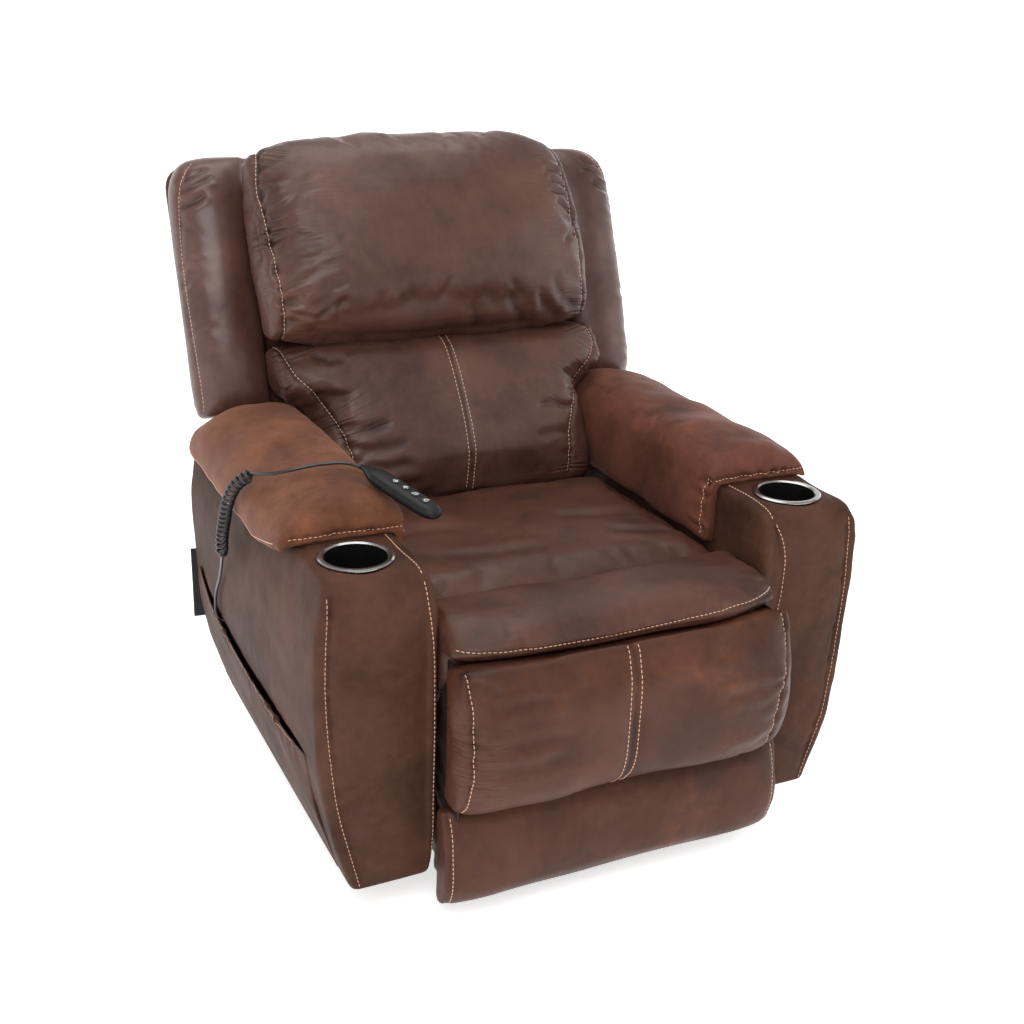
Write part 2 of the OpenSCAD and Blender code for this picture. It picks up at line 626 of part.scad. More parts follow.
// Outer side panels, from the facing back to the rear edge
module side_cut() intersection() {
    plate(300, 200) arm_profile(facing_t + seat_gap);
    children();
}
panel_t = 20;
module arm_side_right() color(hide) in_place() side_cut() run_y(-1, arm_len) skin_section(0, panel_t);
// Storage pocket over the lower part of the left arm's side
pocket_mouth = open_curve([[60, 270], [128, 267], [318, 256], [476, 263], [601, 283], [690, 322]], 4);
module below_mouth(d, drop = 0) polygon(concat([[pocket_mouth[0][0] + d, arm_low + d]], [for (p = pocket_mouth)
    [max(pocket_mouth[0][0] + d, min(p[0], pocket_mouth[len(pocket_mouth) - 1][0] - d)), p[1] - drop]],
    [[pocket_mouth[len(pocket_mouth) - 1][0] - d, arm_low + d]]));
pocket_hem = 14;
mouth_drop = 14;
module arm_side_left() color(hide) in_place() mirror([1, 0, 0]) difference() {
    side_cut() run_y(-1, arm_len) skin_section(0, panel_t);
    intersection() {
        plate(300, 200) difference() {
            below_mouth(0);
        }
        run_y(-1, arm_len) skin_section(-5, pocket_t + seat_gap);
    }
    intersection() {
        plate(300, 200) below_mouth(pocket_hem);
        run_y(-1, arm_len) skin_section(0, pocket_t + pocket_gap);
    }
}
module side_pocket() color(hide) in_place() mirror([1, 0, 0]) intersection() {
    plate(300, 200) below_mouth(seat_gap, mouth_drop);
    run_y(-1, arm_len) skin_section(0, pocket_t);
}
module cup_wells() color([0.03, 0.03, 0.03]) in_place() both_sides() translate([cup_x, cup_y, arm_top - cup_depth]) difference() {
    cylinder(h = cup_depth - seat_gap, r = cup_r + cup_wall);
    translate([0, 0, cup_wall]) cylinder(h = cup_depth, r = cup_r);
}
ring_t = 3;
module cup_rings() color([0.75, 0.75, 0.76]) in_place() both_sides() translate([cup_x, cup_y, arm_top + seat_gap])
    rotate_extrude($fn = 72) polygon([[cup_r, 0], [ring_r, 0], [ring_r, 1], [ring_r - 2.5, ring_t], [cup_r + 3, ring_t], [cup_r, 1]]);
// Flaps hanging at the rear edges of the arms
module rear_flaps() color([0.05, 0.05, 0.05]) in_place() both_sides()
    translate([330, facing_back + seat_gap, 190]) cube([110, 4, 140]);

// ---- Soft parts of the seat ----
seat_points = [[500, seat_low], [500, 400], [492, 446], [440, 462], [300, 468], [170, 469], [118, 460],
    [112.6, 430], [112.6, seat_low], [300, seat_low]];
function flat_low(p, z) = [for (q = p) [q[0], max(q[1], z)]];
module seat_cushion() color(hide) in_place()
    cushion([for (q = flat_low(closed_curve(seat_points, 3), seat_low)) [max(q[0], 112.6), q[1]]],
        seat_half, [300, seat_low], 0.9);
roll_points = [[112, 440], [108, 466], [60, 480], [0, 480], [-45, 470], [-68, 456], [-56, 445], [-20, 440],
    [-12, 400], [10, 354], [60, seat_low], [112, seat_low]];
module seat_front_roll() color(hide) in_place()
    cushion([for (q = flat_low(closed_curve(roll_points, 2), seat_low)) [min(q[0], 112), q[1]]],
        roll_half, [112, seat_low + 70], 0.82);

// ---- Arm pads, draped over the arms with their edges hanging inside and outside ----
// Upper face and underside of a pad, [distance from the middle, height], inner edge first
pad_upper = [[269, 474], [259, 515], [260, 555], [267, 588], [285, 611], [335, 628], [385, 624], [428, 604],
    [451, 589], [457, 566], [451, 545]];
pad_under = [[281.4, 476], [281.4, 505], [281.4, 535], [281.4, 562.5], [300, 562.5], [340, 562.5], [385, 562.5],
    [428, 562.5], [437.5, 562.5], [441, 556], [445, 546]];
// Stations along the arm, [depth, share of the full thickness]
pad_stations = [[147, 0.4], [152, 0.72], [168, 0.92], [200, 1], [300, 1], [420, 0.98], [540, 1], [610, 1], [645, 0.9],
    [672, 0.55], [690, 0.3], [700, 0.15]];
module arm_pad() {
    upper = open_curve(pad_upper, 2);
    under = open_curve(pad_under, 2);
    n = len(upper);
    loft_sheet([for (s = pad_stations) concat([for (i = [0:n - 1]) let (q = under[i] + (upper[i] - under[i]) * s[1]) [q[0], s[0], q[1]]],
        [for (i = [n - 1:-1:0]) [under[i][0], s[0], under[i][1]]])]);
}
module arm_pad_right() color(hide) in_place() arm_pad();
module arm_pad_left() color(hide) in_place() mirror([1, 0, 0]) arm_pad();

// ---- Back ----
post_x = 215;
post_w = 29;
post_t = 22;
module back_posts() color(wood) in_place() both_sides() in_back()
    translate([post_x, 12, 20]) cube([post_w - seat_gap, post_t, 640]);
module back_rails() color(wood) in_place() in_back() for (v = [60, 330, 628])
    translate([-post_x + seat_gap, 12, v]) cube([2 * (post_x - seat_gap), post_t, 32]);
// Plates beside the posts that carry the hinge, a cross tube and the fork of the actuator's rod
back_tube_at = back_at(40, -40);
back_tube_r = 13;
module back_hinge_plates() color(zinc) in_place() {
    both_sides() plate(drive_x, leg_link_t) difference() {
        union() {
            bar2d(hinge_at, back_tube_at, 17);
            bar2d(hinge_at, back_at(24, 30), 17);
            bar2d(back_at(24, 30), back_at(24, 170), 11);
        }
        holes2d([hinge_at], lift_pin_r + pin_clear);
    }
    pin(back_tube_at, -drive_x - 1, 2 * drive_x + 2, back_tube_r);
    fork(recline_x) difference() {
        bar2d(back_tube_at, recline_pin_at + unit(recline_pin_at - hinge_at) * back_slot[1], back_tube_r);
        bar2d(recline_pin_at + unit(recline_pin_at - hinge_at) * back_slot[0],
            recline_pin_at + unit(recline_pin_at - hinge_at) * back_slot[1], rod_pin_r + 1.8);
    }
}
cushion_back = 11.7;
lumbar_points = [[11.7, 200], [11.7, 335], [-5, 354], [-42, 352], [-74, 326], [-107, 263], [-136, 200],
    [-147, 130], [-146, 80], [-122, 40], [-60, 34], [11.7, 62]];
function lumbar_width(v) = lumbar_half + (pillow_half - lumbar_half) * max(0, min(1, (v - 246) / 30));
function flat_front(p, u) = [for (q = p) [min(q[0], u), q[1]]];
lumbar_profile = flat_front(closed_curve(lumbar_points, 2), cushion_back);
module lumbar_cushion() color(hide) in_place() in_back()
    cushion(lumbar_profile, [for (p = lumbar_profile) lumbar_width(p[1])], [cushion_back, 200], 0.86, tip = lumbar_half);
pillow_points = [[11.7, 510], [11.7, 660], [-20, 696], [-72, 712], [-118, 682], [-157, 610], [-178, 520],
    [-178, 430], [-172, 385], [-146, 356], [-80, 362], [0, 369], [11.7, 385]];
module head_pillow() color(hide) in_place() in_back()
    cushion(flat_front(closed_curve(pillow_points, 2), cushion_back), pillow_half, [cushion_back, 520], 0.6, 14);
// Wings beside the back, seen along the back: [distance from the middle, u]
wing_in = post_x + post_w + seat_gap;
wing_section = [[wing_in, 13], [302, 12], [309, -4], [336, -20], [370, -27], [408, -16], [434, 10], [back_half, 36], [434, 58], [400, 61], [wing_in, 61]];
// Stations up the back, [v, shrink towards the rear, outward reach]
wing_stations = [[250, 0.5, 0.9], [258, 0.72, 0.97], [290, 0.88, 1], [360, 1, 1], [480, 1, 1], [590, 0.97, 0.995], [650, 0.85, 0.97],
    [682, 0.66, 0.88], [697, 0.4, 0.74]];
module back_wings() color(hide) in_place() both_sides() in_back() loft([for (s = wing_stations)
    [for (q = open_curve(wing_section, 2)) [wing_in + (q[0] - wing_in) * s[2], 61 + (q[1] - 61) * s[1], s[0]]]]);
panel_u = 61.4;
module back_panel() color(hide) in_place() in_back() translate([0, back_depth, 0]) rotate([90, 0, 0])
    linear_extrude(back_depth - panel_u) {
        translate([-240, 20]) square([480, 240]);
        difference() {
            translate([-back_half + 6, 250]) square([2 * back_half - 12, 440]);
            for (s = [-1, 1]) translate([s * (back_half - 46), 650]) difference() {
                translate([s > 0 ? 0 : -41, 0]) square([41, 41]);
                circle(40);
            }
        }
    }

// ---- Control box between the mechanism's cross tubes ----
box_w = 80;
box_h = 38;
box_wall = 3;
module control_box() color([0.06, 0.06, 0.06]) in_place() {
    y = mech_tubes[0][0] + mech_w + seat_gap;
    len = mech_tubes[1][0] - seat_gap - y;
    difference() {
        translate([-box_w / 2, y, mech_tubes[0][1] - 16]) cube([box_w, len, box_h]);
        translate([-box_w / 2 + box_wall, y + box_wall, mech_tubes[0][1] - 17])
            cube([box_w - 2 * box_wall, len - 2 * box_wall, box_h - box_wall + 1]);
    }
}

// ---- Handset ----
handset_at = [-297, 212, 635];
handset_turn = [-11.5, 0, -157.3];
module in_handset() translate(handset_at) rotate(handset_turn) children();
handset_r = 14;
boot_len = 22;
module rounded2d(a, b, r) difference() {
    translate([-a / 2, 0]) square([a, b]);
    for (i = [-1, 1], j = [0, 1]) translate([i * (a / 2 - r), j ? b - r : r]) difference() {
        translate([i > 0 ? 0 : -r - 1, j ? 0 : -r - 1]) square([r + 1, r + 1]);
        circle(r);
    }
}
function button_y(i) = 52 + i * button_pitch;
button_clear = 0.3;
well_depth = 4;
plunger_r = 1.5;
module handset_shell() color([0.04, 0.04, 0.04]) in_place() in_handset() {
    difference() {
        intersection() {
            translate([0, 0, -handset_t / 2]) linear_extrude(handset_t) rounded2d(handset_w, handset_len - 14, handset_r);
            rotate([90, 0, 90]) translate([0, 0, -handset_w]) linear_extrude(2 * handset_w)
                translate([(handset_len - 14) / 2, -handset_t / 2]) rounded2d(handset_len - 14, handset_t, 7);
        }
        for (i = [0:3]) translate([0, button_y(i), handset_t / 2 - well_depth])
            union() {
                cylinder(h = well_depth + 1, r = button_r + button_clear);
                translate([0, 0, -button_travel]) cylinder(h = button_travel + 1, r = plunger_r + button_clear);
            }
    }
    translate([0, 2, 0]) rotate([90, 0, 0]) cylinder(h = boot_len + 2, r1 = 6.5, r2 = cord_r + 1.2);
}
module button(i) color([0.2, 0.2, 0.2]) in_place() in_handset() translate([0, button_y(i), handset_t / 2 - well_depth + button_travel + seat_gap]) {
    cylinder(h = well_depth - 0.3, r = button_r);
    translate([0, 0, -button_travel]) cylinder(h = button_travel + 1, r = plunger_r);
}
module handset_button_1() button(0);
module handset_button_2() button(1);
module handset_button_3() button(2);
module handset_button_4() button(3);

// ---- Handset cord: smooth over the pad, curled down the arm, then into the pocket ----
cord_start = [[-306, 234, 637], [-314, 246, 639], [-330, 256, 640], [-350, 262, 639], [-374, 266, 637], [-400, 272, 632],
    [-424, 286, 625]];
coil_line = [[-450, 322, 614], [-468, 345, 590], [-476, 368, 555], [-476, 394, 516], [-476, 414, 480], [-474, 428, 442]];
cord_end = [[-468, 462, 412], [-463, 500, 372], [-461.5, 536, 332], [-460.5, 552, 302], [-460, 555, 286], [-458.5, 553, 277],
    [-454, 550, 269], [-447, 547, 267], [-442, 541, 262], [-440.5, 530, 254], [-440.3, 517, 247], [-440, 509, 243.5], [-438, 505.5, 242],
    [-434.2, 505, 242]];
curl_rings = 8;
coil_path = open_curve(coil_line, 8);
coil_t = tangents(coil_path);
coil_f = frames(coil_t, 0, [0.5, 0.5, 0.7]);
coil_steps = curl_count * curl_rings;
// Point of the curls at share t, on a circle that opens and closes at both ends
function curl(t, a, grow) = let (m = t * (len(coil_path) - 1), i = min(floor(m), len(coil_path) - 2), k = m - i,
    c = coil_path[i] * (1 - k) + coil_path[i + 1] * k, f = unit(coil_f[i] * (1 - k) + coil_f[i + 1] * k),
    g = cross(coil_t[i], f)) c + curl_r * grow * (f * cos(a) + g * sin(a));
coil_points = [for (i = [0:coil_steps]) curl(i / coil_steps, 360 * i / curl_rings, min(1, 0.12 + i / 9, 0.12 + (coil_steps - i) / 9))];
cord_path = concat(cord_start, coil_points, cord_end);
module handset_cord() color([0.04, 0.04, 0.05]) in_place() swept(cord_path, cord_r, 6);
// Least gap between one curl and the rest of the curls
echo(least_curl_gap = min([for (i = [0:coil_steps - 6], j = [i + 6:min(coil_steps, i + 20)])
    norm(coil_points[i] - coil_points[j])]) - 2 * cord_r);

base_side_rails();
base_cross_tubes();
base_glides();
base_link_brackets();
lift_rear_links();
lift_torque_tube();
lift_front_links();
lift_motor();
lift_rod();
lift_frame_rails();
lift_frame_cross_tubes();
lift_frame_brackets();
mechanism_plates();
mechanism_cross_tubes();
mechanism_bolts();
recline_motor();
recline_rod();
legrest_motor();
legrest_rod();
legrest_torque_tube();
legrest_drive_links();
legrest_long_links();
legrest_parallel_links();
legrest_guide_links();
legrest_brackets();
legrest_board();
legrest_pad();
control_box();
kick_straps();
kick_board();
kick_pad();
seat_side_rails();
seat_cross_rails();
seat_springs();
seat_cushion();
seat_front_roll();
arm_frames();
arm_inner_panels();
arm_facings();
arm_side_left();
arm_side_right();
side_pocket();
arm_pad_left();
arm_pad_right();
cup_wells();
cup_rings();
rear_flaps();
back_posts();
back_rails();
back_hinge_plates();
lumbar_cushion();
head_pillow();
back_wings();
back_panel();
handset_shell();
handset_button_1();
handset_button_2();
handset_button_3();
handset_button_4();
handset_cord();
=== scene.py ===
"""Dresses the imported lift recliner: padded leather covers with stitched seams, cord, handset, metal and wood.

Lengths are written in millimetres in the side view's frame, whose y starts at the arms' front faces, and
place() turns them into metres in the row frame.
"""

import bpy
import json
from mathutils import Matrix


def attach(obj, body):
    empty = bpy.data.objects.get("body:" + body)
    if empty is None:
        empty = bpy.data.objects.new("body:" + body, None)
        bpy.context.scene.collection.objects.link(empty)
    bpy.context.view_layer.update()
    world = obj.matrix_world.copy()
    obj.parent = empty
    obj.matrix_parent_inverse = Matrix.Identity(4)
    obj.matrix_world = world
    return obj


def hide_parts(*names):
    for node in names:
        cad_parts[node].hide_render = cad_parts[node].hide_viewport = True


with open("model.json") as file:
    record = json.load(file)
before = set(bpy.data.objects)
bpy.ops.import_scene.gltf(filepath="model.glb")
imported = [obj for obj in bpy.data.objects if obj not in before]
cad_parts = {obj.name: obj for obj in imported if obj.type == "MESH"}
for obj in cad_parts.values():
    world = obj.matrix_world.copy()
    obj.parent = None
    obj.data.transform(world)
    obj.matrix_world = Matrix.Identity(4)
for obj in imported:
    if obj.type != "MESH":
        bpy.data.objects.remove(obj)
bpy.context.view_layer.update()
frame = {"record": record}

import json
import math

import bpy
import numpy as np
from mathutils import Matrix, Vector
from mathutils.bvhtree import BVHTree

REACH = 404.0            # from the origin forward to the arms' front faces
SCENE = bpy.context.scene
SENSOR, LENS, CLIP_END = 36, 48.87, 60
CAMERA_TURN = (-25.90, 21.34, 1.91)            # azimuth, elevation and roll in degrees
CAMERA_AT = (-954.5, -1625.3, 1337.8)


def place(points):
    """Millimetres behind the arms' front faces to metres in the row frame: (x, y - REACH, z) / 1000."""
    return (np.asarray(points, float) - [0, REACH, 0]) / 1000


# ---------------------------------------------------------------- camera
def camera_matrix(azimuth, elevation, roll, at):
    """Columns right, up, back of a camera that looks along -back, turned by roll about its own axis,
    standing at a point.
    """
    a, e, r = map(math.radians, (azimuth, elevation, roll))
    back = Vector((math.sin(a) * math.cos(e), -math.cos(a) * math.cos(e), math.sin(e)))
    right = Vector((math.cos(a), math.sin(a), 0))
    up = back.cross(right)
    right, up = right * math.cos(r) + up * math.sin(r), up * math.cos(r) - right * math.sin(r)
    m = Matrix((right, up, back)).transposed().to_4x4()
    m.translation = at
    return m


def add_camera():
    """The camera at the angle from which the chair is seen."""
    data = bpy.data.cameras.new("camera")
    data.sensor_width, data.lens = SENSOR, LENS
    data.clip_end = CLIP_END
    obj = bpy.data.objects.new("camera", data)
    SCENE.collection.objects.link(obj)
    obj.matrix_world = camera_matrix(*CAMERA_TURN, place(CAMERA_AT))
    SCENE.camera = obj


add_camera()
SCENE.view_settings.view_transform = "Standard"


# ---------------------------------------------------------------- curves in numpy
def unit(v):
    """v / |v| along the last axis."""
    return v / np.maximum(np.linalg.norm(v, axis=-1, keepdims=True), 1e-12)


def catmull(points, steps, closed=False):
    """Catmull-Rom curve: 0.5 (2b + (c-a) t + (2a-5b+4c-d) t^2 + (3b-a-3c+d) t^3) between b and c."""
    p = np.asarray(points, float)
    n = len(p)
    i = np.arange(n if closed else n - 1)
    pick = (lambda k: p[(i + k) % n]) if closed else (lambda k: p[np.clip(i + k, 0, n - 1)])
    a, b, c, d = (pick(k)[:, None] for k in (-1, 0, 1, 2))
    t = (np.arange(steps) / steps)[None, :, None]
    q = 0.5 * (2 * b + (c - a) * t + (2 * a - 5 * b + 4 * c - d) * t**2 + (3 * b - a - 3 * c + d) * t**3)
    q = q.reshape(-1, p.shape[1])
    return q if closed else np.vstack([q, p[-1:]])


def line_distance(points, line):
    """For each point, its distance to a polyline, the share of the line's length there, and the side it
    lies to.
    """
    p, q = np.asarray(points, float), np.asarray(line, float)
    seg = np.diff(q, axis=0)
    length = np.linalg.norm(seg, axis=1)
    start = np.r_[0, np.cumsum(length)]
    best = np.full(len(p), 1e9)
    share = np.zeros(len(p))
    for k in range(len(seg)):
        rel = p - q[k]
        t = np.clip(rel @ seg[k] / max(length[k] ** 2, 1e-12), 0, 1)
        d = np.linalg.norm(rel - t[:, None] * seg[k], axis=1)
        near = d < best
        best[near], share[near] = d[near], (start[k] + t[near] * length[k]) / start[-1]
    return best, share


# ---------------------------------------------------------------- cord: made first
CORD_R, CURL_R, CURLS, RINGS = 2.6, 7.9, 19, 28
TUBE_SIDES = 10
COIL_START = 0.12                              # the curls' first share of their radius
COIL_OPENING = 9 / 8                           # the turns they take to open
CORD_START = [[-306, 234, 637], [-314, 246, 639], [-330, 256, 640], [-350, 262, 639], [-374, 266, 637],
              [-400, 272, 632], [-424, 286, 625]]
COIL_LINE = [[-450, 322, 614], [-468, 345, 590], [-476, 368, 555], [-476, 394, 516], [-476, 414, 480],
             [-474, 428, 442]]
CORD_END = [[-468, 462, 412], [-463, 500, 372], [-461.5, 536, 332], [-460.5, 552, 302], [-460, 555, 286],
            [-458.5, 553, 277], [-454, 550, 269], [-447, 547, 267], [-442, 541, 262], [-440.5, 530, 254],
            [-440.3, 517, 247], [-440, 509, 243.5], [-438, 505.5, 242], [-434.2, 505, 242]]


def carried_frame(tangents, first):
    """One direction square to each tangent, carried along: a' = unit(a - t (a . t))."""
    out, a = [], np.asarray(first, float)
    for t in tangents:
        a = unit(a - t * (a @ t))
        out.append(a)
    return np.array(out)


def coil_points():
    """c(m) + r g(i) (f cos a + (t x f) sin a), with a = 360 i / rings and g opening and closing the coil
    at its ends.
    """
    path = catmull(COIL_LINE, 8)
    t = unit(np.gradient(path, axis=0))
    f = carried_frame(t, [0.5, 0.5, 0.7])
    n = CURLS * RINGS
    i = np.arange(n + 1)
    m = i / n * (len(path) - 1)
    lo = np.minimum(m.astype(int), len(path) - 2)
    k = (m - lo)[:, None]
    centre, side = path[lo] * (1 - k) + path[lo + 1] * k, unit(f[lo] * (1 - k) + f[lo + 1] * k)
    other = np.cross(t[lo], side)
    a = (2 * math.pi * i / RINGS)[:, None]
    ends = RINGS * COIL_OPENING
    grow = np.minimum(1, np.minimum(COIL_START + i / ends, COIL_START + (n - i) / ends))[:, None]
    return centre + CURL_R * grow * (side * np.cos(a) + other * np.sin(a))


def round_tube(name, points, radius):
    """A tube of one radius along points, closed at both ends: p + r (a cos k + b sin k)."""
    p = np.asarray(points, float)
    t = unit(np.gradient(p, axis=0))
    a = carried_frame(t, [0.3, 0.4, 0.86])
    b = np.cross(t, a)
    k = 2 * math.pi * np.arange(TUBE_SIDES) / TUBE_SIDES
    r = np.broadcast_to(np.asarray(radius, float), len(p))[:, None, None]
    rings = p[:, None] + r * (a[:, None] * np.cos(k)[None, :, None] + b[:, None] * np.sin(k)[None, :, None])
    return skin(name, rings, wrap=True, cap=True)


def mesh_object(name, verts, faces, smooth_shade=True):
    """An object at the origin with this mesh, its vertices already in metres in the row frame."""
    me = bpy.data.meshes.new(name)
    me.from_pydata(np.asarray(verts, float).tolist(), [], [tuple(map(int, f)) for f in faces])
    me.validate()
    me.update()
    if smooth_shade:
        me.shade_smooth()
    obj = bpy.data.objects.new(name, me)
    SCENE.collection.objects.link(obj)
    return obj


def skin(name, rings, wrap=True, cap=True):
    """Quads between rings of equally many points, (n, m, 3); wrap closes each ring and cap closes both
    ends with a fan.
    """
    rings = np.asarray(rings, float)
    n, m = rings.shape[:2]
    v = place(rings.reshape(-1, 3))
    i, k = np.meshgrid(np.arange(n - 1), np.arange(m if wrap else m - 1), indexing="ij")
    nxt = (k + 1) % m
    quads = np.stack([i * m + k, (i + 1) * m + k, (i + 1) * m + nxt, i * m + nxt], -1).reshape(-1, 4).tolist()
    if cap and wrap:
        v = np.vstack([v, v[:m].mean(0), v[-m:].mean(0)])
        c0, c1 = n * m, n * m + 1
        quads += [(c0, q, (q + 1) % m) for q in range(m)]
        quads += [(c1, (n - 1) * m + (q + 1) % m, (n - 1) * m + q) for q in range(m)]
    return mesh_object(name, v, quads)


def line_length(points):
    """Sum of the distances between neighbours."""
    return float(np.linalg.norm(np.diff(points, axis=0), axis=1).sum())


def make_cord():
    """The handset's cord: smooth over the pad, curled down the arm, then into the pocket."""
    head = catmull(CORD_START + [COIL_LINE[0]], 6)[:-4]
    coil = coil_points()
    tail = catmull([coil[-1].tolist()] + CORD_END, 5)[1:]
    route = np.vstack([head, coil, tail])
    keep = np.r_[True, np.linalg.norm(np.diff(route, axis=0), axis=1) > 0.15]
    route = route[keep]
    obj = round_tube("handset_cord_skin", route, CORD_R)
    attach(obj, "chair")
    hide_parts("handset_cord")
    return obj


CORD = make_cord()


# ---------------------------------------------------------------- shader formulas
class Sock:
    """A shader output that can be used in sums and products, so that a formula reads as it is written."""

    def __init__(self, graph, out):
        self.graph, self.out = graph, out

    def calc(self, kind, *others):
        """A Math node of one kind on this value and others."""
        return self.graph.node("ShaderNodeMath", [self, *others], operation=kind)

    def __add__(self, o):
        return self.calc("ADD", o)

    def __radd__(self, o):
        return self.calc("ADD", o)

    def __sub__(self, o):
        return self.calc("SUBTRACT", o)

    def __rsub__(self, o):
        return self.graph.node("ShaderNodeMath", [o, self], operation="SUBTRACT")

    def __mul__(self, o):
        return self.calc("MULTIPLY", o)

    def __rmul__(self, o):
        return self.calc("MULTIPLY", o)

    def step(self, low, high):
        """Smooth rise from 0 at low to 1 at high."""
        return self.graph.node("ShaderNodeMapRange", {"Value": self, "From Min": low, "From Max": high},
                               interpolation_type="SMOOTHSTEP")


class Graph:
    """One material's nodes; it ends in one Principled BSDF."""

    def __init__(self, name, **constants):
        self.material = bpy.data.materials.new(name)
        self.material.use_nodes = True
        self.tree = self.material.node_tree
        self.bsdf = self.tree.nodes["Principled BSDF"]
        for key, value in constants.items():
            self.bsdf.inputs[key.replace("_", " ")].default_value = value
        self.object = self.node("ShaderNodeTexCoord", {}, out="Object")

    def node(self, kind, inputs, out=0, **settings):
        """Any other node: its inputs by name or in order, its settings, and which output is wanted."""
        n = self.tree.nodes.new(kind)
        for key, value in settings.items():
            setattr(n, key, value)
        pairs = inputs.items() if isinstance(inputs, dict) else enumerate(inputs)
        for key, value in pairs:
            if isinstance(value, Sock):
                self.tree.links.new(value.out, n.inputs[key])
            else:
                n.inputs[key].default_value = value
        return Sock(self, n.outputs[out])

    def noise(self, scale, detail=2.0, rough=0.5, at=None, twist=0.0):
        """Fractal noise, about 0 to 1, of features 1 / scale metres wide."""
        return self.node("ShaderNodeTexNoise", {"Vector": at or self.object, "Scale": scale, "Detail": detail,
                                                "Roughness": rough, "Distortion": twist})

    def cells(self, scale, feature="F1", at=None, jitter=1.0):
        """Distance to the nearest of scattered points, 1 / scale metres apart."""
        return self.node("ShaderNodeTexVoronoi",
                         {"Vector": at or self.object, "Scale": scale, "Randomness": jitter},
                         out="Distance", feature=feature)

    def vector(self, kind, *inputs, out=0):
        """A Vector Math node of one kind."""
        return self.node("ShaderNodeVectorMath", inputs, out=out, operation=kind)

    def stretch(self, x, y, z):
        """Object coordinates times (x, y, z)."""
        return self.vector("MULTIPLY", self.object, (x, y, z))

    def mix(self, share, a, b):
        """Colour a (1 - share) + b share."""
        n = self.tree.nodes.new("ShaderNodeMix")
        n.data_type = "RGBA"
        for k, value in ((0, share), (6, a), (7, b)):
            if isinstance(value, Sock):
                self.tree.links.new(value.out, n.inputs[k])
            else:
                n.inputs[k].default_value = (*value, 1) if k and len(value) == 3 else value
        return Sock(self, n.outputs[2])

    def to(self, name, sock):
        """Wires a value into the surface."""
        self.tree.links.new(sock.out, self.bsdf.inputs[name])

    def bump(self, height, depth, below=None):
        """A bump of so many metres, laid over another one."""
        inputs = {"Height": height, "Distance": depth, "Strength": 1.0}
        if below is not None:
            inputs["Normal"] = below
        return self.node("ShaderNodeBump", inputs, out="Normal")


# ---------------------------------------------------------------- soft forms
HINGE, TILT = (610.0, 370.0), math.radians(21)
CUSHION_BACK = 11.7
PRESSURE, CLOTH_STIFFNESS, CLOTH_BENDING, CLOTH_MASS, CLOTH_STEPS, FRAMES = 4.0, 12.0, 0.6, 0.4, 4, 20
WAVES = 12                                     # plane waves in lumps()
FOLD_DEEP = 8                                  # mm pushed in that count as a full fold


def flat(p):
    """Points that are already in the chair's millimetres."""
    return np.asarray(p, float)


def leaning(p):
    """From the back's axes (x, u, v): y = 610 + u cos 21 + v sin 21 and z = 370 - u sin 21 + v cos 21."""
    x, u, v = np.moveaxis(np.asarray(p, float), -1, 0)
    return np.stack([x, HINGE[0] + u * math.cos(TILT) + v * math.sin(TILT),
                     HINGE[1] - u * math.sin(TILT) + v * math.cos(TILT)], -1)


def unlean(p):
    """The other way round."""
    x, y, z = np.moveaxis(np.asarray(p, float), -1, 0)
    y, z = y - HINGE[0], z - HINGE[1]
    return np.stack([x, y * math.cos(TILT) - z * math.sin(TILT), y * math.sin(TILT) + z * math.cos(TILT)], -1)


def unplace(p):
    """Row metres to the chair's millimetres."""
    return np.asarray(p, float) * 1000 + [0, REACH, 0]


def coords(obj):
    """The mesh's points, (n, 3), in row metres."""
    co = np.empty(len(obj.data.vertices) * 3)
    obj.data.vertices.foreach_get("co", co)
    return co.reshape(-1, 3)


def normals(obj):
    """The mesh's point normals, (n, 3)."""
    no = np.empty(len(obj.data.vertices) * 3, np.float32)
    obj.data.vertex_normals.foreach_get("vector", no)
    return no.reshape(-1, 3).astype(float)


def set_coords(obj, co):
    """Moves the mesh's points."""
    obj.data.vertices.foreach_set("co", np.asarray(co, float).ravel())
    obj.data.update()


def baked(obj):
    """Applies all modifiers of an object."""
    deps = bpy.context.evaluated_depsgraph_get()
    me = bpy.data.meshes.new_from_object(obj.evaluated_get(deps))
    old = obj.data
    obj.modifiers.clear()
    obj.data = me
    bpy.data.meshes.remove(old)
    me.name = obj.name
    me.shade_smooth()


def remesh(obj, size):
    """Even quads of this size over the same form."""
    mod = obj.modifiers.new("even", "REMESH")
    mod.mode, mod.voxel_size, mod.adaptivity = "VOXEL", size, 0.0
    baked(obj)


def relax(obj, factor, repeats):
    """Smooths away the steps that the even quads leave."""
    mod = obj.modifiers.new("relax", "SMOOTH")
    mod.factor, mod.iterations = factor, repeats
    baked(obj)


def divide(obj):
    """One subdivision."""
    mod = obj.modifiers.new("fine", "SUBSURF")
    mod.levels = mod.render_levels = 1
    baked(obj)


